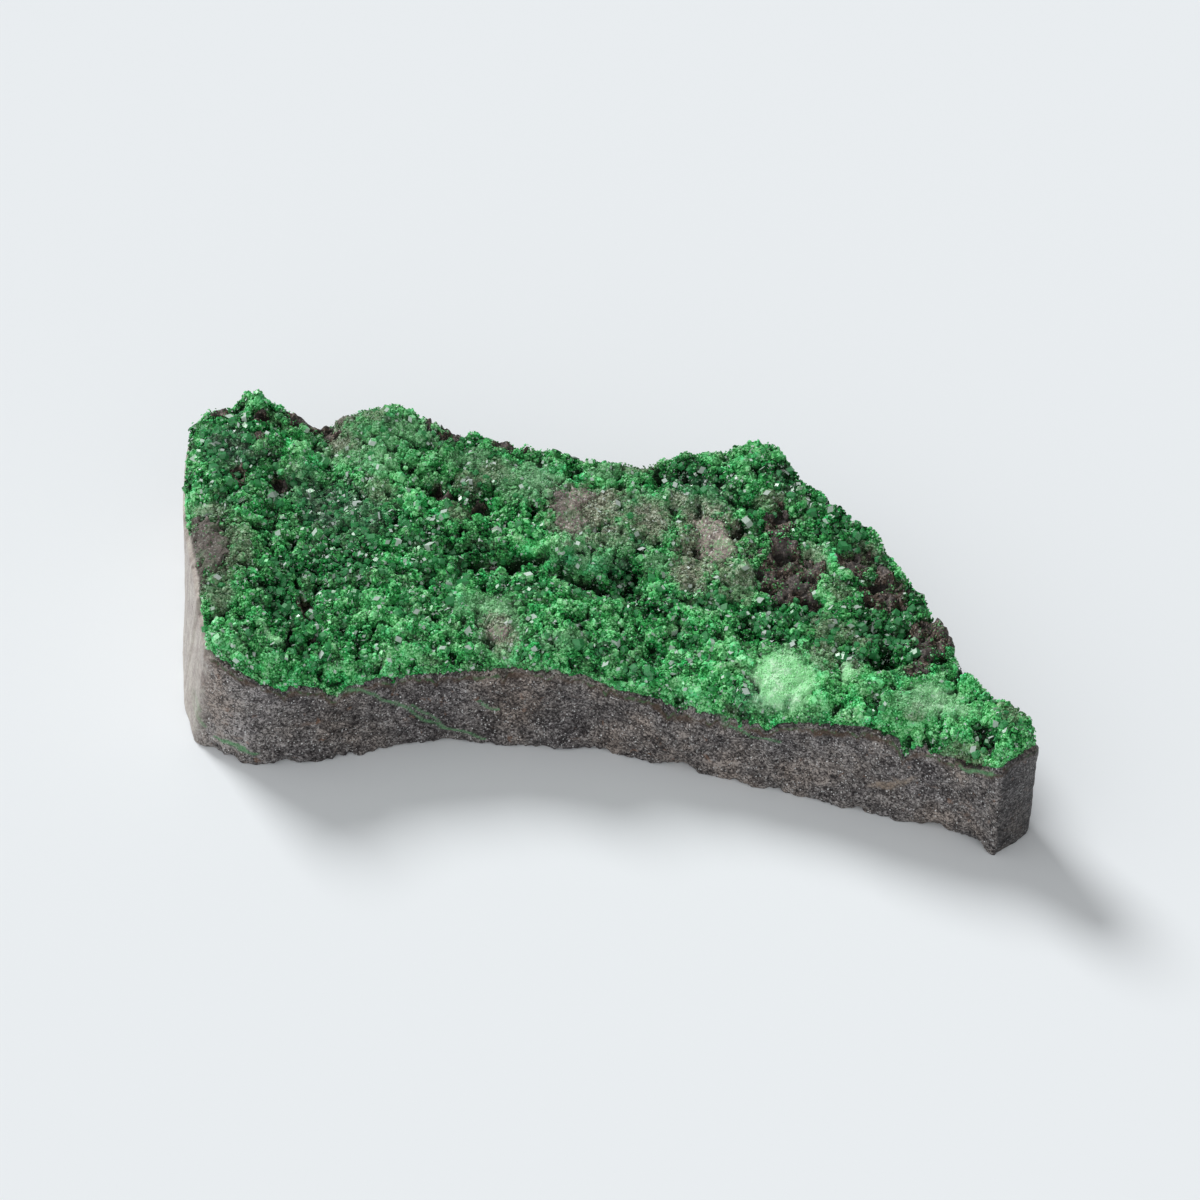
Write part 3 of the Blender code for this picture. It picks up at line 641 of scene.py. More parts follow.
def make_rock():
    n = len(RIM)
    gx = RIM[:, 0] - SHIFT[0]
    sawn = smooth((-31.8 - gx) / 1.6)                      # the cut left side
    end = smooth((gx - 32.55) / 0.35)                      # the smoother right end
    plain = np.maximum(sawn, 0.72 * end)
    rim_top = rock_height(RIM[:, 0], RIM[:, 1])
    rows = 56
    verts, notes = [], []
    for j in range(rows + 1):
        t = j / rows
        foot, shoulder = smooth(1 - t / 0.05), smooth((t - 0.955) / 0.045)
        turn_in = 0.12 * foot + 0.26 * shoulder * shoulder
        z = rim_top * t
        x0 = RIM[:, 0] + lean(RIM[:, 0], RIM[:, 1], t)
        y0 = RIM[:, 1]
        move = wall_move(x0, y0, z, plain, end) - turn_in
        verts.append(np.stack([x0 + RIM_OUT[:, 0] * move, y0 + RIM_OUT[:, 1] * move, z], 1))
        notes.append(np.stack([sawn, end, rim_top - z], 1))
    # the top ring is eased so that the crust can follow it
    verts[-1][:, :2] = eased(verts[-1][:, :2], 3)
    walls = np.concatenate(verts)
    notes = np.concatenate(notes)
    i = np.arange(n)
    quads = []
    for j in range(rows):
        a, b = j * n + i, j * n + (i + 1) % n
        quads.append(np.stack([a, b, b + n, a + n], 1))
    quads = np.concatenate(quads)
    tris = np.concatenate([quads[:, [0, 1, 2]], quads[:, [0, 2, 3]]])
    # the top: fine on the bare places, coarse where the crust hides it
    ring = walls[rows * n:, :2]
    points, top_tris = filled_plan(ring, 0.75, SEED, 0.16, 0.155, lambda x, y: bare_at(x, y) > 0.12)
    inner = points[n:]
    inner3 = np.column_stack([inner, rock_height(inner[:, 0], inner[:, 1])])
    base = len(walls)
    index = np.concatenate([rows * n + i, base + np.arange(len(inner))])
    top_faces = index[top_tris]
    # the flat sawn underside
    low_points, low_tris = filled_plan(walls[:n, :2], 2.5, SEED + 1, 1.2)
    low_inner = low_points[n:]
    low3 = np.column_stack([low_inner, np.zeros(len(low_inner))])
    low_base = base + len(inner3)
    index = np.concatenate([i, low_base + np.arange(len(low_inner))])
    low_faces = index[low_tris][:, ::-1]
    verts = np.vstack([walls, inner3, low3])
    ob = new_piece("chromite_slab", verts, np.vstack([tris, top_faces, low_faces]))
    ends = np.zeros(len(inner3) + len(low3))
    paint(ob, "sawn", np.concatenate([notes[:, 0], ends]))
    paint(ob, "end", np.concatenate([notes[:, 1], ends]))
    paint(ob, "below_rim", np.concatenate([notes[:, 2], np.zeros(len(inner3)), np.full(len(low3), 9.0)]))
    on_top = np.concatenate([np.zeros(len(walls)), np.ones(len(inner3)), np.zeros(len(low3))])
    on_top[(rows - 1) * n:base] = 1
    paint(ob, "knob", KNOB.at(verts[:, 0], verts[:, 1]) * on_top)
    paint(ob, "rise", np.clip(RISE.at(verts[:, 0], verts[:, 1]) * 0.7 + 0.5, 0, 1))
    paint(ob, "brown", OPEN.at(verts[:, 0], verts[:, 1]) * on_top)
    paint(ob, "top", on_top)
    paint(ob, "left", smooth((-25.0 - (verts[:, 0] - SHIFT[0])) / 4.5) * (1 - on_top))
    u, v = seen(verts[:, 0], verts[:, 1], verts[:, 2], 0.5)
    paint(ob, "worn_tone", worn_tone(u, v))
    return ob, ring


# ------------------------------------------------------------- the crust's ground
def make_ground(rock_ring):
    line = evenly(eased(rock_ring, 6), 0.26)
    out = outwards(line, 4)
    ring = line - out * (0.16 + 0.07 * fbm(line[:, 0], line[:, 1], scale=0.8, seed=81))[:, None]
    n = len(ring)
    top = crust_height(ring[:, 0], ring[:, 1])
    low = np.minimum(rock_height(ring[:, 0] - out[:, 0] * 0.2, ring[:, 1] - out[:, 1] * 0.2) - 0.45, top - 0.3)
    rows = 4
    walls = []
    for j in range(rows + 1):
        t = j / rows
        # the low edge keeps inside the rock, the upper part swells over it
        inset = 0.25 * (1 - smooth(t * 2.0)) - 0.10 * math.sin(math.pi * t) * smooth(t * 2.0)
        walls.append(np.column_stack([ring - out * inset, low + (top - low) * t]))
    walls = np.concatenate(walls)
    i = np.arange(n)
    quads = np.concatenate([
        np.stack([j * n + i, j * n + (i + 1) % n, (j + 1) * n + (i + 1) % n, (j + 1) * n + i], 1)
        for j in range(rows)])
    tris = np.concatenate([quads[:, [0, 1, 2]], quads[:, [0, 2, 3]]])
    points, top_tris = filled_plan(walls[rows * n:, :2], 0.235, SEED + 2, 0.14)
    inner = points[n:]
    inner3 = np.column_stack([inner, crust_height(inner[:, 0], inner[:, 1])])
    base = len(walls)
    index = np.concatenate([rows * n + i, base + np.arange(len(inner))])
    top_faces = index[top_tris]
    low_points, low_tris = filled_plan(walls[:n, :2], 1.2, SEED + 3, 0.6)
    low_inner = low_points[n:]
    low_z = np.minimum(rock_height(low_inner[:, 0], low_inner[:, 1]), crust_height(low_inner[:, 0], low_inner[:, 1])) - 1.3
    low3 = np.column_stack([low_inner, low_z])
    low_base = base + len(inner3)
    index = np.concatenate([i, low_base + np.arange(len(low_inner))])
    low_faces = index[low_tris][:, ::-1]
    verts = np.vstack([walls, inner3, low3])
    ob = new_piece("uvarovite_ground", verts, np.vstack([tris, top_faces, low_faces]))
    for name, values in shades(verts[:, 0], verts[:, 1], verts[:, 2]):
        paint(ob, name, values)
    return ob, line, out


def worn_tone(u, v):
    """How light the worn places are, 0 to 1 for 0 to 1.5 times."""
    total, share = np.zeros_like(u), np.full_like(u, 0.02)
    for place in WORN:
        one = spots(u, v, [place], soft=0.9) ** 2
        total, share = total + one * place[5], share + one
    return np.clip((total + 0.02 * 0.9) / share / 1.5, 0, 1)


def shades(x, y, z):
    """The numbers that the green material reads, for each point."""
    u, v = seen(x, y, z)
    places = [("dust", DUST), ("powder", POWDER), ("bright", BRIGHT), ("deep", DEEP), ("grey", GREY),
              ("frosted", FROSTED), ("stain", BROWN)]
    made = [(name, spots(u, v, where, soft=0.5)) for name, where in places]
    # lighter along the edge, where the crust thins out; this also offsets the painted shade that the relief puts on the
    # low rim
    near = 1 - smooth((rim_distance(x, y) - 0.25) / 0.75)
    made[2] = ("bright", np.maximum(made[2][1], 0.85 * near))
    thin = 0.34 * smooth((u - 870) / 24) + 0.50 * (1 - smooth((np.abs(u - 520) - 45) / 20))
    made[1] = ("powder", made[1][1] * (1 - thin))
    made.append(("worn", spots(u, v, WORN, soft=0.75)))
    made.append(("worn_tone", worn_tone(u, v)))
    # the relief's painted shade is kept off the rim
    made.append(("rise", np.maximum(np.clip(RISE.at(x, y) * 0.7 + 0.5, 0, 1), 0.46 * near)))
    return made


# --------------------------------------------------------------------- crystals
# A garnet crystal is a rhombic dodecahedron. Small ones show only their tip
# above the mass, so they are made as a closed tip: a pyramid of four faces, or a
# cap of three or four rhombs with the upper halves of the faces round it.
def as_shape(points, faces):
    """Points, triangles that point outwards, and the facet each belongs to."""
    points = np.array(points, float)
    middle = points.mean(0)
    tris, facet = [], []
    for k, face in enumerate(faces):
        p = points[list(face)]
        if np.dot(np.cross(p[1] - p[0], p[2] - p[1]), p.mean(0) - middle) < 0:
            face = face[::-1]
        for j in range(1, len(face) - 1):
            tris.append((face[0], face[j], face[j + 1]))
            facet.append(k)
    return points, np.array(tris), np.array(facet)


def dodecahedron():
    """The whole crystal, 1 across its faces: 14 points and 12 rhombs."""
    pts = [(a, b, c) for a in (-1, 1) for b in (-1, 1) for c in (-1, 1)]
    pts += [(2, 0, 0), (-2, 0, 0), (0, 2, 0), (0, -2, 0), (0, 0, 2), (0, 0, -2)]
    pts = np.array(pts, float)
    axis = {(0, 1): 8, (0, -1): 9, (1, 1): 10, (1, -1): 11, (2, 1): 12, (2, -1): 13}
    faces = []
    for i in range(8):
        for j in range(i + 1, 8):
            same = np.flatnonzero(pts[i] == pts[j])
            if len(same) == 2:
                a, b = (axis[(int(k), int(pts[i][k]))] for k in same)
                faces.append((i, a, j, b))
    return as_shape(pts / (2 * math.sqrt(2)), faces)


def four_cap():
    """The upper half of a crystal that stands on its four-sided point."""
    s = 1 / (2 * math.sqrt(2))
    pts = [(0, 0, 2 * s)] + [(a * s, b * s, s) for a, b in ((1, 1), (-1, 1), (-1, -1), (1, -1))]
    pts += [(2 * s, 0, 0), (0, 2 * s, 0), (-2 * s, 0, 0), (0, -2 * s, 0)]
    faces = [(0, 4, 5, 1), (0, 1, 6, 2), (0, 2, 7, 3), (0, 3, 8, 4),
             (1, 5, 6), (2, 6, 7), (3, 7, 8), (4, 8, 5), (5, 8, 7, 6)]
    return as_shape(pts, faces)


def three_cap():
    """The upper part of a crystal that stands on its three-sided point."""
    s = 1 / (2 * math.sqrt(2))
    r, high, foot = math.sqrt(8 / 3) * s, 2 / math.sqrt(3) * s, 1 / math.sqrt(3) * s
    pts = [(0, 0, math.sqrt(3) * s - foot)]
    for k in range(3):
        a, b = 2 * math.pi * k / 3, 2 * math.pi * k / 3 + math.pi / 3
        pts.append((r * math.cos(a), r * math.sin(a), high - foot))      # 1, 4, 7
        pts.append((r * math.cos(a), r * math.sin(a), 0))                # 2, 5, 8
        pts.append((r * math.cos(b), r * math.sin(b), 0))                # 3, 6, 9
    faces = [(0, 1, 3, 4), (0, 4, 6, 7), (0, 7, 9, 1), (1, 2, 3), (4, 5, 6), (7, 8, 9),
             (3, 5, 4), (6, 8, 7), (9, 2, 1), (2, 3, 5, 6, 8, 9)]
    return as_shape(pts, faces)


def four_tip():
    """Only the point: four faces at 45 degrees and a square foot."""
    h = 0.42
    pts = [(0, 0, h), (h, h, 0), (-h, h, 0), (-h, -h, 0), (h, -h, 0)]
    return as_shape(pts, [(0, 1, 2), (0, 2, 3), (0, 3, 4), (0, 4, 1), (1, 4, 3, 2)])


SHAPES = [dodecahedron(), four_cap(), three_cap(), four_tip()]


def turned(rng, count):
    """Random rotation matrices."""
    q = rng.normal(size=(count, 4))
    q /= np.linalg.norm(q, axis=1)[:, None]
    w, x, y, z = q.T
    return np.stack([
        1 - 2 * (y * y + z * z), 2 * (x * y - z * w), 2 * (x * z + y * w),
        2 * (x * y + z * w), 1 - 2 * (x * x + z * z), 2 * (y * z - x * w),
        2 * (x * z - y * w), 2 * (y * z + x * w), 1 - 2 * (x * x + y * y),
    ], 1).reshape(-1, 3, 3)


def standing(rng, up):
    """Rotations that stand a shape on the directions `up`, at any spin."""
    d = up / np.linalg.norm(up, axis=1)[:, None]
    side = rng.normal(size=d.shape)
    side -= (side * d).sum(1)[:, None] * d
    side /= np.linalg.norm(side, axis=1)[:, None]
    return np.stack([side, np.cross(d, side), d], 2)


def normal_at(x, y, h=0.14):
    gx = (TOP.at(x + h, y) - TOP.at(x - h, y)) / (2 * h)
    gy = (TOP.at(x, y + h) - TOP.at(x, y - h)) / (2 * h)
    up = np.stack([-gx, -gy, np.ones_like(gx)], 1)
    return up / np.linalg.norm(up, axis=1)[:, None]


MIDDLE, SPREAD, SPACING = 0.245, 0.26, 0.165     # crystals' usual size, its spread, their distance


def seeds(line, out):
    """Where the crystals grow: place, direction and size."""
    rng = np.random.default_rng(SEED)
    xs, ys = np.arange(LOW[0], HIGH[0], SPACING), np.arange(LOW[1], HIGH[1], SPACING)
    x, y = (a.ravel() for a in np.meshgrid(xs, ys, indexing="ij"))
    x = x + rng.uniform(-0.5, 0.5, x.shape) * SPACING
    y = y + rng.uniform(-0.5, 0.5, y.shape) * SPACING
    keep = inside(x, y, line) & (rim_distance(x, y) > 0.10)
    x, y = x[keep], y[keep]
    top = TOP.at(x, y)
    up = normal_at(x, y)
    u, v = seen(x, y, top)
    deep, dust, powder = (spots(u, v, p, soft=0.5) for p in (DEEP, DUST, POWDER))
    grey, bright = spots(u, v, GREY, soft=0.5), spots(u, v, BRIGHT, soft=0.5)
    bare = bare_at(x, y)
    coarse = smooth(0.5 + 1.3 * fbm(x, y, scale=3.4, seed=91)) * (1 - powder) * (1 - dust)
    usual = MIDDLE * (0.90 + 0.30 * coarse) * (1 + 0.35 * deep - 0.18 * dust - 0.22 * powder - 0.10 * grey - 0.05 * bright)
    size = usual * np.exp(rng.normal(0, SPREAD, x.shape))
    # among the fine ones, a share of clearly larger crystals
    pick = rng.random(x.shape)
    size = np.where(pick < 0.045 + 0.060 * coarse + 0.06 * deep, rng.uniform(0.36, 0.56, x.shape), size)
    size = np.where(pick < 0.006 + 0.012 * coarse + 0.022 * deep, rng.uniform(0.52, 0.95, x.shape), size)
    size = np.clip(size, 0.15, 1.15)
    size = np.where((rim_distance(x, y) < 0.75) | (powder > 0.4), np.minimum(size, 0.33), size)
    # larger crystals leave room for fewer
    chance = np.clip((MIDDLE * 1.1 / usual) ** 2, 0.55, 1.0)
    # few on bare rock, thinning out over its edge; some grow in the open pockets
    cover = 1 - smooth((bare - 0.24) / 0.44)
    left = 0.08 + 0.62 * (OPEN.at(x, y) > 0.3) * smooth(0.42 + 1.8 * fbm(x, y, scale=0.8, seed=92))
    chance = chance * (cover + (1 - cover) * left)
    keep = rng.random(x.shape) < chance
    size = size * (1 - 0.38 * smooth((bare - 0.15) / 0.5))
    x, y, up, size, bare = x[keep], y[keep], up[keep], size[keep], bare[keep]
    z = TOP.at(x, y) - 0.15 + size * rng.uniform(-0.48, 0.10, x.shape) + 0.10 * smooth((bare - 0.30) / 0.3)
    # crystals that hang over the crust's edge, between its top and the rock
    count = int(len(line) * 5.0)
    at = rng.integers(0, len(line), count)
    inset = rng.uniform(0.02, 0.26, count)
    ex, ey = line[at, 0] - out[at, 0] * inset, line[at, 1] - out[at, 1] * inset
    xi, yi = line[at, 0] - out[at, 0] * 0.35, line[at, 1] - out[at, 1] * 0.35
    low, high = rock_height(xi, yi) + 0.02, TOP.at(xi, yi) - 0.12
    ez = low + (high - low) * rng.random(count)
    eup = np.column_stack([out[at], rng.uniform(0.0, 0.9, count)])
    esize = np.exp(rng.normal(0, 0.28, count)) * 0.25
    keep = (bare_at(xi, yi) < 0.4) & (high - low > 0.12)
    return (np.concatenate([x, ex[keep]]), np.concatenate([y, ey[keep]]), np.concatenate([z, ez[keep]]),
            np.concatenate([up, eup[keep]]), np.concatenate([size, esize[keep]]), rng)


def make_crystals(line, out):
    x, y, z, up, size, rng = seeds(line, out)
    count = len(x)
    centre = np.stack([x, y, z], 1)
    u, v = seen(x, y, z)
    deep = spots(u, v, DEEP, soft=0.5)
    # the shape by size, and the clear ones
    pick = rng.random(count)
    shape = np.where(size < 0.35, 3, np.where(size < 0.56, np.where(pick < 0.5, 1, 2), 0))
    pale = np.maximum(spots(u, v, POWDER, soft=0.5), spots(u, v, WORN, soft=0.5))
    clear = (size > 0.40) & (rng.random(count) < (CLEAR_SHARE + CLEAR_DEEP * deep) * (pale < 0.2))
    shape = np.where(clear, 0, shape)
    lifted = np.where(shape == 0, rng.uniform(0.0, 0.24, count), 0.0) * size
    centre = centre + up * lifted[:, None]
    stretch = np.eye(3)[None] + rng.normal(0, 0.085, (count, 3, 3))
    tilt = up + rng.normal(0, 0.42, (count, 3))
    stand = standing(rng, tilt)
    free = turned(rng, count)
    rotation = np.where((shape == 0)[:, None, None], free, stand)
    change = rotation @ stretch * size[:, None, None]
    own, tone, gloss = rng.random((3, count))
    # painted shade: those that sit low among the others are made darker
    tone = 0.62 * tone + 0.38 * np.clip((z - TOP.at(x, y) + 0.15) / size / 0.58 + 0.83, 0, 1)
    readings = shades(x, y, z)
    groups = [("uvarovite_clear", np.flatnonzero(clear))]
    rest = np.flatnonzero(~clear)
    rest = rest[np.argsort(x[rest], kind="stable")]
    weight = np.cumsum(np.array([len(s[1]) for s in SHAPES])[shape[rest]])
    parts = int(math.ceil(weight[-1] / 188000))
    cuts = np.searchsorted(weight, weight[-1] * np.arange(1, parts) / parts)
    for k, chosen in enumerate(np.split(rest, cuts)):
        groups.append((f"uvarovite_crystals_{k + 1}", chosen))
    made = []
    for name, chosen in groups:
        verts, tris, facets, whose, start = [], [], [], [], 0
        for kind, (points, faces, facet) in enumerate(SHAPES):
            these = chosen[shape[chosen] == kind]
            if not len(these):
                continue
            world = np.einsum("nij,kj->nki", change[these], points) + centre[these][:, None, :]
            m = len(points)
            verts.append(world.reshape(-1, 3))
            tris.append((faces[None] + start + m * np.arange(len(these))[:, None, None]).reshape(-1, 3))
            # a random lightness for each facet: painted light within the crystal, and the painted glints
            tint = rng.random((len(these), facet.max() + 1))
            facets.append(tint[:, facet].ravel())
            whose.append(np.repeat(these, m))
            start += m * len(these)
        whose = np.concatenate(whose)
        ob = new_piece(name, np.concatenate(verts), np.concatenate(tris), smooth_shaded=False)
        paint(ob, "facet", np.concatenate(facets), "FACE")
        for key, values in readings + [("own", own), ("tone", tone), ("gloss", gloss), ("size", np.clip(size, 0, 1))]:
            paint(ob, key, values[whose])
        made.append(ob)
    return made


CLEAR_SHARE, CLEAR_DEEP = 0.10, 0.30


# -------------------------------------------------------------------- materials
class Nodes:
    """A few short ways to build a node tree."""

    def __init__(self, name):
        self.material = bpy.data.materials.new(name)
        self.material.use_nodes = True
        self.tree = self.material.node_tree
        self.tree.nodes.clear()
        self.out = self.tree.nodes.new("ShaderNodeOutputMaterial")
        self.shader = self.tree.nodes.new("ShaderNodeBsdfPrincipled")
        self.join(self.shader.outputs[0], self.out.inputs["Surface"])
        self.where = self.tree.nodes.new("ShaderNodeTexCoord").outputs["Object"]

    def join(self, a, b):
        self.tree.links.new(a, b)

    def put(self, socket, value):
        if isinstance(value, bpy.types.NodeSocket):
            self.join(value, socket)
        elif isinstance(value, tuple) and len(value) == 3 and socket.type == "RGBA":
            socket.default_value = (*value, 1.0)
        else:
            socket.default_value = value

    def number(self, name):
        n = self.tree.nodes.new("ShaderNodeAttribute")
        n.attribute_name = name
        return n.outputs["Fac"]

    def noise(self, mm, detail=3.0, rough=0.6, distort=0.0, where=None, kind="FBM"):
        n = self.tree.nodes.new("ShaderNodeTexNoise")
        n.noise_type = kind
        self.join(where or self.where, n.inputs["Vector"])
        n.inputs["Scale"].default_value = 1000.0 / mm
        n.inputs["Detail"].default_value = detail
        n.inputs["Roughness"].default_value = rough
        n.inputs["Distortion"].default_value = distort
        return n.outputs["Fac"]

    def cell(self, mm, feature="F1", output="Distance", random=1.0):
        n = self.tree.nodes.new("ShaderNodeTexVoronoi")
        n.feature = feature
        self.join(self.where, n.inputs["Vector"])
        n.inputs["Scale"].default_value = 1000.0 / mm
        n.inputs["Randomness"].default_value = random
        return n.outputs[output]

    def stretched(self, sx, sy, sz):
        n = self.tree.nodes.new("ShaderNodeMapping")
        self.join(self.where, n.inputs["Vector"])
        n.inputs["Scale"].default_value = (sx, sy, sz)
        return n.outputs[0]

    def range(self, value, a, b, c=0.0, d=1.0, soft=True):
        n = self.tree.nodes.new("ShaderNodeMapRange")
        n.interpolation_type = "SMOOTHSTEP" if soft else "LINEAR"
        self.put(n.inputs["Value"], value)
        for key, v in (("From Min", a), ("From Max", b), ("To Min", c), ("To Max", d)):
            self.put(n.inputs[key], v)
        return n.outputs[0]

    def math(self, op, a, b=0.0, clamp=False):
        n = self.tree.nodes.new("ShaderNodeMath")
        n.operation = op
        n.use_clamp = clamp
        self.put(n.inputs[0], a)
        self.put(n.inputs[1], b)
        return n.outputs[0]

    def mix(self, fac, a, b, blend="MIX"):
        n = self.tree.nodes.new("ShaderNodeMix")
        n.data_type = "RGBA"
        n.blend_type = blend
        n.clamp_factor = True
        self.put(n.inputs[0], fac)
        self.put(n.inputs[6], a)
        self.put(n.inputs[7], b)
        return n.outputs[2]

    def ramp(self, fac, stops, mode="LINEAR"):
        n = self.tree.nodes.new("ShaderNodeValToRGB")
        n.color_ramp.interpolation = mode
        self.join(fac, n.inputs[0])
        e = n.color_ramp.elements
        while len(e) < len(stops):
            e.new(0.5)
        for el, (pos, col) in zip(e, stops):
            el.position = pos
            el.color = (*col, 1.0)
        return n.outputs[0]

    def bump(self, height, mm, strength=1.0, before=None):
        n = self.tree.nodes.new("ShaderNodeBump")
        n.inputs["Strength"].default_value = strength
        n.inputs["Distance"].default_value = mm * MM
        self.join(height, n.inputs["Height"])
        if before is not None:
            self.join(before, n.inputs["Normal"])
        return n.outputs[0]


def rock_material():
    m = Nodes("chromite_rock")
    split = m.tree.nodes.new("ShaderNodeSeparateColor")
    m.join(m.cell(0.14, "F1", "Color"), split.inputs[0])
    flakes = m.tree.nodes.new("ShaderNodeSeparateColor")
    m.join(m.cell(0.16, "F1", "Color"), flakes.inputs[0])
    coarse = m.noise(1.3, 3, 0.6)
    grain = m.noise(0.24, 4, 0.75)
    patches = m.noise(5.0, 3, 0.55)
    # grains of many tones, darker between them
    tone = m.math("ADD", m.math("MULTIPLY", split.outputs[0], 0.46), m.math("MULTIPLY", grain, 1.10))
    tone = m.math("ADD", tone, m.math("MULTIPLY", m.math("SUBTRACT", coarse, 0.5), 0.58))
    tone = m.math("ADD", tone, m.math("MULTIPLY", m.math("SUBTRACT", patches, 0.5), 0.46))
    tone = m.math("ADD", tone, m.math("MULTIPLY", m.math("SUBTRACT", m.noise(0.75, 3, 0.6), 0.5), 0.50))
    tone = m.math("ADD", tone, m.math("SUBTRACT", m.math("ADD", m.math("MULTIPLY", m.number("left"), 0.09), m.math("MULTIPLY", m.number("shade"), 0.21)), 0.275))
    base = m.ramp(tone, [(0.30, (0.016, 0.013, 0.013)), (0.46, (0.062, 0.054, 0.054)), (0.59, (0.116, 0.105, 0.101)),
                         (0.72, (0.200, 0.185, 0.178)), (0.90, (0.42, 0.39, 0.375))])
    tint = m.ramp(patches, [(0.36, (0.96, 0.97, 1.01)), (0.5, (1.0, 1.0, 1.0)), (0.64, (1.08, 1.00, 0.93))])
    base = m.mix(1.0, base, tint, "MULTIPLY")
    # light grey flakes painted pale as painted glints, and made glossier; and near-black specks
    core = m.math("LESS_THAN", m.cell(0.16), 0.42)
    painted_glint_flake = m.math("MULTIPLY", m.math("GREATER_THAN", flakes.outputs[0], 0.870), core)
    base = m.mix(m.math("MULTIPLY", painted_glint_flake, 0.85), base, m.mix(flakes.outputs[2], (0.24, 0.24, 0.24), (0.95, 0.96, 0.96)))
    dark = m.math("MULTIPLY", m.math("LESS_THAN", flakes.outputs[1], 0.14), core)
    base = m.mix(m.math("MULTIPLY", dark, 0.85), base, (0.010, 0.009, 0.009))
    # warm beige and rusty spots here and there
    streak = m.range(m.noise(2.2, 3, 0.6, 0.6, m.stretched(0.6, 1, 1.3)), 0.64, 0.74)
    base = m.mix(m.math("MULTIPLY", streak, 0.35), base, (0.30, 0.215, 0.17))
    rust = m.range(m.noise(0.9, 2, 0.5, 0.4), 0.66, 0.74)
    base = m.mix(m.math("MULTIPLY", rust, 0.50), base, (0.230, 0.120, 0.070))
    # open brown rock on the top, and the worn grey knobs
    brown_colour = m.ramp(m.math("ADD", m.math("MULTIPLY", grain, 0.8), m.math("MULTIPLY", split.outputs[1], 0.30)),
                          [(0.36, (0.006, 0.005, 0.004)), (0.52, (0.034, 0.024, 0.018)), (0.66, (0.105, 0.070, 0.050)),
                           (0.84, (0.26, 0.20, 0.155))])
    brown_colour = m.mix(m.math("MULTIPLY", m.math("GREATER_THAN", split.outputs[2], 0.86), 0.75), brown_colour, (0.36, 0.30, 0.265))
    brown_colour = m.mix(m.range(m.noise(1.3, 3, 0.6), 0.44, 0.60, 0.0, 0.6), brown_colour, m.mix(grain, (0.030, 0.026, 0.027), (0.185, 0.165, 0.165)))
    # painted shade: the open brown rock is darkened in its hollows
    brown_colour = m.mix(m.range(m.number("rise"), 0.06, 0.40, 0.75, 0.0), brown_colour, (0.004, 0.004, 0.003))
    base = m.mix(m.range(m.number("brown"), 0.15, 0.45), base, brown_colour)
    worn = m.noise(0.26, 3, 0.75)
    knob_colour = m.ramp(m.math("ADD", m.math("MULTIPLY", worn, 0.9), m.math("MULTIPLY", m.math("SUBTRACT", coarse, 0.5), 0.5)),
                         [(0.28, (0.075, 0.060, 0.054)), (0.42, (0.185, 0.155, 0.138)), (0.54, (0.305, 0.255, 0.225)),
                          (0.70, (0.64, 0.56, 0.51))])
    green_film = m.range(m.noise(1.5, 3, 0.65), 0.50, 0.66)
    knob_colour = m.mix(m.math("MULTIPLY", green_film, 0.45), knob_colour, (0.19, 0.36, 0.17))
    film = m.math("MULTIPLY", m.math("GREATER_THAN", split.outputs[1], 0.80), m.range(m.number("worn_tone"), 0.40, 0.70, 0.15, 0.60))
    knob_colour = m.mix(film, knob_colour, (0.16, 0.37, 0.16))
    knob_colour = m.mix(m.math("MULTIPLY", m.math("GREATER_THAN", split.outputs[2], 0.93), 0.60), knob_colour, (0.70, 0.70, 0.66))
    lit = m.ramp(m.number("worn_tone"), [(0.0, (0, 0, 0)), (1.0, (1.3, 1.3, 1.3))])
    knob_colour = m.mix(1.0, knob_colour, lit, "MULTIPLY")
    base = m.mix(m.range(m.number("knob"), 0.15, 0.45), base, knob_colour)
    # a thin rusty band just under the crust, and green creeping down from it
    below, side = m.number("below_rim"), m.math("SUBTRACT", 1.0, m.number("top"))
    band = m.range(m.math("ADD", below, m.math("MULTIPLY", m.math("SUBTRACT", coarse, 0.5), 1.3)), 0.20, 0.95, 1.0, 0.0)
    base = m.mix(m.math("MULTIPLY", m.math("MULTIPLY", band, side), 0.80), base, m.mix(grain, (0.020, 0.014, 0.010), (0.155, 0.096, 0.060)))
    creep = m.range(m.math("ADD", below, m.math("MULTIPLY", m.math("SUBTRACT", m.noise(1.1, 4, 0.7), 0.5), 2.6)), 0.02, 0.34, 1.0, 0.0)
    base = m.mix(m.math("MULTIPLY", m.math("MULTIPLY", creep, side), 0.66), base, m.mix(grain, (0.010, 0.040, 0.014), (0.110, 0.320, 0.120)))
    base = m.mix(m.math("MULTIPLY", m.number("beige"), m.range(grain, 0.40, 0.58, 0.25, 0.75)), base, (0.40, 0.32, 0.25))
    base = m.mix(m.math("MULTIPLY", m.number("vein"), 0.90), base, m.mix(split.outputs[1], (0.055, 0.190, 0.075), (0.190, 0.430, 0.210)))
    # the sawn left side: pale, smooth, with upright streaks
    sawn = m.number("sawn")
    stripe = m.noise(0.7, 5, 0.72, 0.25, m.stretched(1, 2.2, 0.35))
    mottle = m.math("ADD", m.math("MULTIPLY", m.noise(1.6, 4, 0.7), 0.52), m.math("MULTIPLY", grain, 0.27))
    stripe = m.math("ADD", m.math("MULTIPLY", stripe, 0.29), mottle)
    pale = m.ramp(stripe, [(0.37, (0.180, 0.140, 0.125)), (0.47, (0.335, 0.285, 0.260)), (0.56, (0.465, 0.420, 0.375)),
                           (0.66, (0.60, 0.59, 0.51)), (0.76, (0.36, 0.48, 0.32))])
    speck = m.math("GREATER_THAN", split.outputs[1], 0.72)
    pale = m.mix(m.math("MULTIPLY", m.math("ADD", m.math("MULTIPLY", speck, 0.6), m.range(grain, 0.50, 0.68)), 0.34, clamp=True), pale, (0.175, 0.135, 0.125))
    base = m.mix(m.math("MULTIPLY", sawn, 0.96), base, pale)
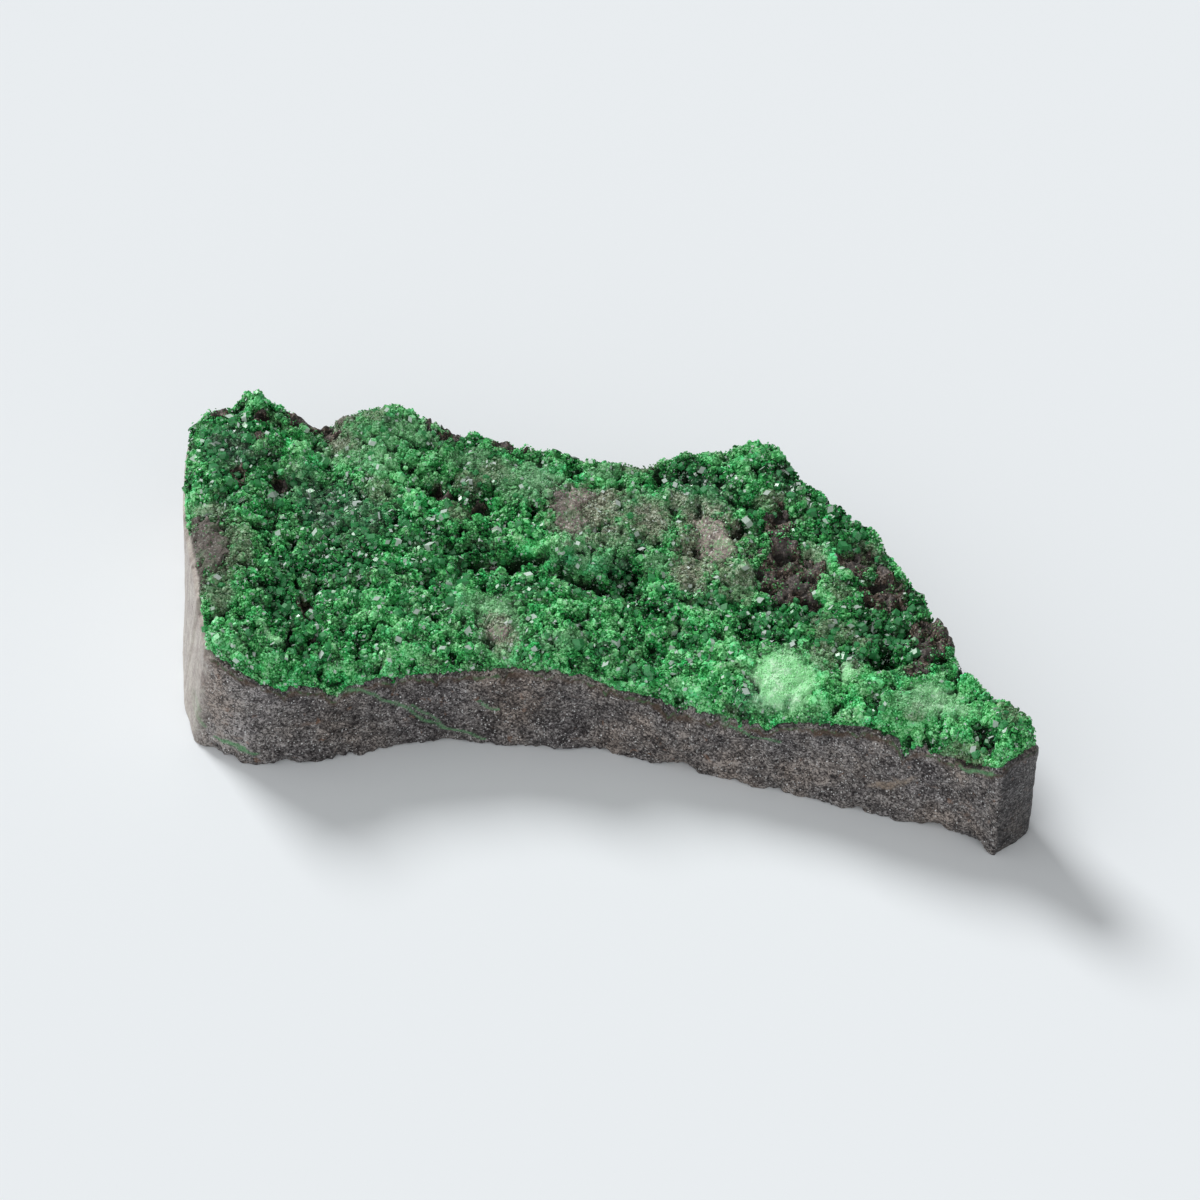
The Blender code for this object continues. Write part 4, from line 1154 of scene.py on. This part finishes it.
    # painted shade: the right end is painted darker, as the side turned from the light; it is also smoother
    end = m.number("end")
    base = m.mix(m.math("MULTIPLY", end, 0.90), base, m.mix(0.64, base, (0.006, 0.006, 0.008)))
    m.join(base, m.shader.inputs["Base Color"])
    rough = m.range(grain, 0.3, 0.7, 0.68, 0.42)
    rough = m.math("SUBTRACT", rough, m.math("MULTIPLY", painted_glint_flake, 0.25))
    rough = m.math("SUBTRACT", rough, m.math("MULTIPLY", sawn, 0.12))
    m.join(rough, m.shader.inputs["Roughness"])
    height = m.math("ADD", grain, m.math("MULTIPLY", m.cell(0.22), -0.55))
    height = m.math("MULTIPLY", height, m.math("SUBTRACT", 1.0, m.math("MULTIPLY", m.math("MAXIMUM", sawn, m.math("MULTIPLY", end, 0.55)), 0.88)))
    m.join(m.bump(height, 0.11, 1.0), m.shader.inputs["Normal"])
    m.shader.inputs["IOR"].default_value = 1.38
    return m.material


def green_colour(m, crystal):
    """The garnet's colour, with painted light and shade, and how dull its places are."""
    patches = m.noise(2.8, 4, 0.62)
    specks = m.noise(0.22, 2, 0.7)
    chips = m.tree.nodes.new("ShaderNodeSeparateColor")
    m.join(m.cell(0.135, "F1", "Color"), chips.inputs[0])
    chip, fleck, hue = chips.outputs
    # each crystal's tone: random, with painted shade on those that sit low among the others
    tone = m.number("tone") if crystal else m.noise(0.35, 2, 0.7)
    own = m.number("own") if crystal else m.noise(0.6, 2, 0.7)
    # how light it is: its own tone, the patch it grows in, the place (lighter lumps and darker hollows, partly painted
    # light and shade), and the relief, which paints light on the rises and shade in the hollows
    light = m.math("ADD", m.math("MULTIPLY", tone, 0.36), m.math("MULTIPLY", patches, 1.12))
    light = m.math("ADD", light, m.math("MULTIPLY", m.math("SUBTRACT", specks, 0.5), 0.56))
    light = m.math("ADD", light, m.math("MULTIPLY", m.math("SUBTRACT", chip, 0.5), 0.48))
    light = m.math("ADD", light, m.math("MULTIPLY", m.math("SUBTRACT", m.number("rise"), 0.5), 0.46))
    light = m.math("ADD", light, m.math("MULTIPLY", m.number("bright"), 0.19))
    light = m.math("SUBTRACT", light, m.math("MULTIPLY", m.number("deep"), 0.27))
    light = m.math("SUBTRACT", light, 0.160)
    if crystal:
        # painted light: each facet gets its own lightness, standing in for light that passes through the crystal and
        # comes out again
        light = m.math("ADD", light, m.math("MULTIPLY", m.math("SUBTRACT", m.number("facet"), 0.5), 0.38))
    else:
        # painted shade: the mass between the crystals is made darker than the crystals
        light = m.math("SUBTRACT", light, 0.09)
    green = m.ramp(light, [(0.16, (0.0005, 0.010, 0.002)), (0.34, (0.004, 0.056, 0.013)), (0.52, (0.018, 0.180, 0.040)),
                           (0.70, (0.052, 0.370, 0.090)), (0.86, (0.125, 0.600, 0.185)), (1.0, (0.30, 0.84, 0.38))])
    grey = m.mix(chip, (0.020, 0.070, 0.035), (0.230, 0.380, 0.270))
    green = m.mix(m.math("MULTIPLY", m.number("grey"), 0.50), green, grey)
    # hue wanders between emerald and a duller grey green
    dull = m.range(m.noise(1.7, 3, 0.6), 0.46, 0.66)
    green = m.mix(m.math("MULTIPLY", dull, 0.34), green, m.mix(chip, (0.040, 0.120, 0.050), (0.250, 0.430, 0.250)))
    tint = m.ramp(m.noise(1.6, 4, 0.68), [(0.34, (0.50, 1.03, 0.92)), (0.47, (0.92, 1.0, 0.98)), (0.58, (1.14, 0.99, 1.02)),
                                          (0.72, (1.55, 0.94, 1.20))])
    green = m.mix(1.0, green, tint, "MULTIPLY")
    frost = m.range(m.math("ADD", m.number("frosted"), m.math("MULTIPLY", m.math("SUBTRACT", m.noise(1.1, 3, 0.65), 0.5), 1.8)), 0.15, 1.0)
    film = m.ramp(m.math("ADD", m.math("MULTIPLY", chip, 0.5), m.math("MULTIPLY", tone, 0.5)),
                  [(0.10, (0.050, 0.170, 0.060)), (0.5, (0.170, 0.400, 0.190)), (0.9, (0.400, 0.660, 0.420))])
    green = m.mix(m.math("MULTIPLY", frost, 0.62), green, film)
    dusty = m.range(m.math("ADD", m.number("dust"), m.math("MULTIPLY", m.math("SUBTRACT", m.noise(0.9, 3, 0.65), 0.5), 2.2)), 0.30, 1.05)
    dust = m.ramp(m.math("ADD", m.math("MULTIPLY", chip, 0.75), m.math("MULTIPLY", own, 0.25)),
                  [(0.10, (0.022, 0.072, 0.026)), (0.45, (0.130, 0.240, 0.125)), (0.75, (0.280, 0.400, 0.265)), (0.95, (0.52, 0.62, 0.48))])
    brownish = m.range(m.math("ADD", hue, m.math("MULTIPLY", m.noise(0.8, 2, 0.6), 1.3)), 0.95, 1.35)
    dust = m.mix(m.math("MULTIPLY", brownish, 0.38), dust, m.mix(chip, (0.130, 0.095, 0.068), (0.400, 0.320, 0.250)))
    green = m.mix(m.math("MULTIPLY", dusty, 0.68), green, dust)
    powdery = m.range(m.math("ADD", m.number("powder"), m.math("MULTIPLY", m.math("SUBTRACT", m.noise(1.0, 3, 0.65), 0.5), 1.6)), 0.20, 1.05)
    powder = m.ramp(m.math("ADD", m.noise(1.4, 4, 0.7), m.math("MULTIPLY", m.math("SUBTRACT", chip, 0.5), 0.16)),
                    [(0.30, (0.31, 0.78, 0.35)), (0.5, (0.44, 0.92, 0.48)), (0.68, (0.72, 1.0, 0.73))])
    green = m.mix(m.math("MULTIPLY", powdery, 0.92), green, powder)
    stained = m.range(m.math("ADD", m.number("stain"), m.math("MULTIPLY", m.math("SUBTRACT", m.noise(0.6, 3, 0.6), 0.5), 2.4)), 0.50, 1.10)
    green = m.mix(m.math("MULTIPLY", stained, 0.58), green, m.mix(chip, (0.010, 0.009, 0.006), (0.220, 0.190, 0.140)))
    rubbed = m.range(m.math("ADD", m.number("worn"), m.math("MULTIPLY", m.math("SUBTRACT", m.noise(0.6, 3, 0.6), 0.5), 2.6)), 0.25, 0.95)
    rub = m.ramp(chip, [(0.0, (0.075, 0.066, 0.054)), (0.5, (0.270, 0.222, 0.190)), (0.85, (0.42, 0.36, 0.32)), (1.0, (0.72, 0.72, 0.66))])
    rub = m.mix(1.0, rub, m.ramp(m.number("worn_tone"), [(0.0, (0, 0, 0)), (1.0, (1.4, 1.4, 1.4))]), "MULTIPLY")
    green = m.mix(m.math("MULTIPLY", rubbed, 0.58), green, rub)
    # painted shade: the gaps and holes between the crystals, where the relief is low, are painted near black
    painted_gap_shade = m.math("MULTIPLY", m.range(m.number("rise"), 0.08, 0.37, 1.0, 0.0), m.math("SUBTRACT", 1.0, m.math("MULTIPLY", powdery, 0.6)))
    green = m.mix(m.math("MULTIPLY", painted_gap_shade, 0.80), green, (0.001, 0.008, 0.002))
    # painted glints: a few facets, and specks for edges too small to see, are painted pale as if they reflect the lamp
    edge = m.math("MULTIPLY", m.math("GREATER_THAN", fleck, 0.965), 0.60)
    green = m.mix(edge, green, (0.50, 0.66, 0.54))
    if crystal:
        often = m.range(m.number("size"), 0.25, 0.55, 0.988, 0.890)
        painted_glint = m.math("MULTIPLY", m.math("GREATER_THAN", m.number("facet"), often), m.math("SUBTRACT", 0.85, m.math("MULTIPLY", powdery, 0.7)))
        green = m.mix(painted_glint, green, (0.56, 0.63, 0.60))
    matt = m.math("MAXIMUM", m.math("MAXIMUM", dusty, powdery), m.math("MAXIMUM", m.math("MAXIMUM", stained, frost), rubbed))
    return green, matt


def ground_material():
    m = Nodes("uvarovite_mass")
    green, matt = green_colour(m, False)
    m.join(green, m.shader.inputs["Base Color"])
    m.join(m.math("ADD", 0.45, m.math("MULTIPLY", matt, 0.3), clamp=True), m.shader.inputs["Roughness"])
    m.join(m.bump(m.noise(0.20, 3, 0.7), 0.16, 1.0), m.shader.inputs["Normal"])
    m.shader.inputs["IOR"].default_value = 1.2
    return m.material


def crystal_material():
    m = Nodes("uvarovite_crystal")
    green, matt = green_colour(m, True)
    m.join(green, m.shader.inputs["Base Color"])
    rough = m.range(m.number("gloss"), 0.0, 1.0, 0.12, 0.42, soft=False)
    m.join(m.math("ADD", rough, m.math("MULTIPLY", matt, 0.35), clamp=True), m.shader.inputs["Roughness"])
    m.shader.inputs["IOR"].default_value = 1.21
    return m.material


def clear_material():
    """Clear green crystals: light passes in, is coloured on its way and comes out."""
    m = Nodes("uvarovite_clear")
    m.shader.inputs["Base Color"].default_value = (0.10, 0.58, 0.20, 1.0)
    m.shader.inputs["Transmission Weight"].default_value = 0.6
    m.shader.inputs["IOR"].default_value = 1.56
    m.join(m.range(m.number("gloss"), 0.0, 1.0, 0.20, 0.38, soft=False), m.shader.inputs["Roughness"])
    volume = m.tree.nodes.new("ShaderNodeVolumeAbsorption")
    volume.inputs["Color"].default_value = (0.02, 0.72, 0.20, 1.0)
    volume.inputs["Density"].default_value = 900.0
    m.join(volume.outputs[0], m.out.inputs["Volume"])
    return m.material


def floor_material():
    m = Nodes("floor")
    m.shader.inputs["Base Color"].default_value = (0.814, 0.847, 0.871, 1.0)
    m.shader.inputs["Roughness"].default_value = 1.0
    m.shader.inputs["Specular IOR Level"].default_value = 0.0
    return m.material


# ------------------------------------------------------------- floor and lights
KEY_TOWARD, KEY_SIZE, KEY_POWER = (-0.47, 0.62, 0.60), 20.0, 2.57
SKY_TOWARD, SKY_LOW, SKY_HIGH = (-0.42, -0.64, 0.64), 0.05, 0.795


def studio():
    mesh = bpy.data.meshes.new("floor")
    bm = bmesh.new()
    bmesh.ops.create_grid(bm, x_segments=1, y_segments=1, size=3.0)
    bm.to_mesh(mesh)
    bm.free()
    floor = bpy.data.objects.new("floor", mesh)
    floor.location.z = -0.00002
    mesh.materials.append(floor_material())
    bpy.context.scene.collection.objects.link(floor)
    # one soft light from behind and the left
    key = bpy.data.lights.new("key", "SUN")
    key.angle = math.radians(KEY_SIZE)
    key.energy = KEY_POWER
    ob = bpy.data.objects.new("key", key)
    ob.rotation_euler = (-Vector(KEY_TOWARD)).to_track_quat("-Z", "Y").to_euler()
    ob.location = Vector(KEY_TOWARD) * 1.0
    bpy.context.scene.collection.objects.link(ob)
    # a pale room, brighter in front
    world = bpy.data.worlds.new("studio")
    world.use_nodes = True
    tree = world.node_tree
    back = tree.nodes["Background"]
    where = tree.nodes.new("ShaderNodeTexCoord")
    dot = tree.nodes.new("ShaderNodeVectorMath")
    dot.operation = "DOT_PRODUCT"
    dot.inputs[1].default_value = SKY_TOWARD
    tree.links.new(where.outputs["Generated"], dot.inputs[0])
    level = tree.nodes.new("ShaderNodeMapRange")
    level.interpolation_type = "SMOOTHSTEP"
    level.inputs["From Min"].default_value = -0.3
    level.inputs["From Max"].default_value = 0.95
    level.inputs["To Min"].default_value = SKY_LOW
    level.inputs["To Max"].default_value = SKY_HIGH
    tree.links.new(dot.outputs["Value"], level.inputs["Value"])
    tree.links.new(level.outputs[0], back.inputs["Strength"])
    back.inputs["Color"].default_value = (1.0, 1.0, 1.0, 1.0)
    # a low view looks past the floor's edge at a wall as pale as the floor
    wall = tree.nodes.new("ShaderNodeBackground")
    wall.inputs["Color"].default_value = (0.79, 0.83, 0.86, 1.0)
    path = tree.nodes.new("ShaderNodeLightPath")
    pick = tree.nodes.new("ShaderNodeMixShader")
    tree.links.new(path.outputs["Is Camera Ray"], pick.inputs["Fac"])
    tree.links.new(back.outputs["Background"], pick.inputs[1])
    tree.links.new(wall.outputs["Background"], pick.inputs[2])
    tree.links.new(pick.outputs["Shader"], tree.nodes["World Output"].inputs["Surface"])
    bpy.context.scene.world = world
    bpy.context.scene.view_settings.view_transform = "Standard"
    bpy.context.scene.view_settings.look = "None"


# --------------------------------------------------------------------- assembly
def veins(ob):
    """Thin green veins in the front wall, by where they are seen."""
    co = np.empty(len(ob.data.vertices) * 3, np.float32)
    ob.data.vertices.foreach_get("co", co)
    co = co.reshape(-1, 3) / MM
    u, v = seen_at(co[:, 0], co[:, 1], co[:, 2])
    u = u + 3.0 * vnoise(co[:, 0], co[:, 2], scale=1.0, seed=101)
    v = v + 3.0 * vnoise(co[:, 0], co[:, 2], scale=1.0, seed=102)
    total = np.zeros(len(co))
    for line, width in (
        ([(330, 688), (362, 693), (400, 703), (425, 722), (455, 730), (484, 738)], 1.2),
        ([(712, 700), (722, 722), (748, 735), (780, 742)], 1.0),
        ([(190, 690), (197, 712), (203, 724)], 1.8), ([(222, 740), (240, 750), (256, 752)], 1.2),
        ([(960, 766), (975, 772), (992, 774)], 1.8),
        ([(410, 704), (430, 716), (448, 729)], 1.0), ([(312, 688), (336, 690), (359, 692)], 1.0),
        ([(476, 703), (490, 708), (500, 710)], 0.8), ([(215, 735), (232, 744), (250, 752)], 1.0),
    ):
        best = np.full(len(co), 1e9)
        for (x0, y0), (x1, y1) in zip(line, line[1:]):
            dx, dy = x1 - x0, y1 - y0
            t = np.clip(((u - x0) * dx + (v - y0) * dy) / (dx * dx + dy * dy), 0, 1)
            best = np.minimum(best, np.hypot(u - x0 - t * dx, v - y0 - t * dy))
        total = np.maximum(total, 1 - smooth((best - width * 0.4) / (width * 1.2)))
    hidden = smooth((co[:, 1] - SHIFT[1] - front_line(co[:, 0] - SHIFT[0]) - 2.5) / 1.0)
    paint(ob, "vein", total * (1 - hidden))
    shade = np.zeros(len(co))
    for cu, cv, ru, rv, amount in ((515, 704, 46, 26, -1.7), (338, 722, 28, 20, -1.0), (232, 730, 28, 24, 1.3),
                                   (200, 744, 18, 14, 1.2), (728, 716, 46, 14, 1.4), (930, 744, 30, 18, 1.3),
                                   (858, 744, 26, 14, 1.2), (472, 700, 14, 14, 0.5)):
        shade += amount * (1 - smooth((np.hypot((u - cu) / ru, (v - cv) / rv) - 0.5) / 0.7))
    paint(ob, "shade", np.clip(0.5 + 0.28 * shade, 0, 1))
    near = np.hypot((u - 893) / 24, (v - 783 + 0.12 * (u - 893)) / 4.5)
    paint(ob, "beige", 1 - smooth((near - 0.6) / 0.6))


rock, rock_ring = make_rock()
veins(rock)
rock.data.materials.append(rock_material())
ground, crust_line, crust_out = make_ground(rock_ring)
ground.data.materials.append(ground_material())
crystals = make_crystals(crust_line, crust_out)
solid, clear = crystal_material(), clear_material()
for ob in crystals:
    ob.data.materials.append(clear if ob.name == "uvarovite_clear" else solid)

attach(rock, "root")
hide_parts("chromite_matrix")
for ob in [ground] + crystals:
    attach(ob, "root")
    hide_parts("uvarovite_druse")

studio()
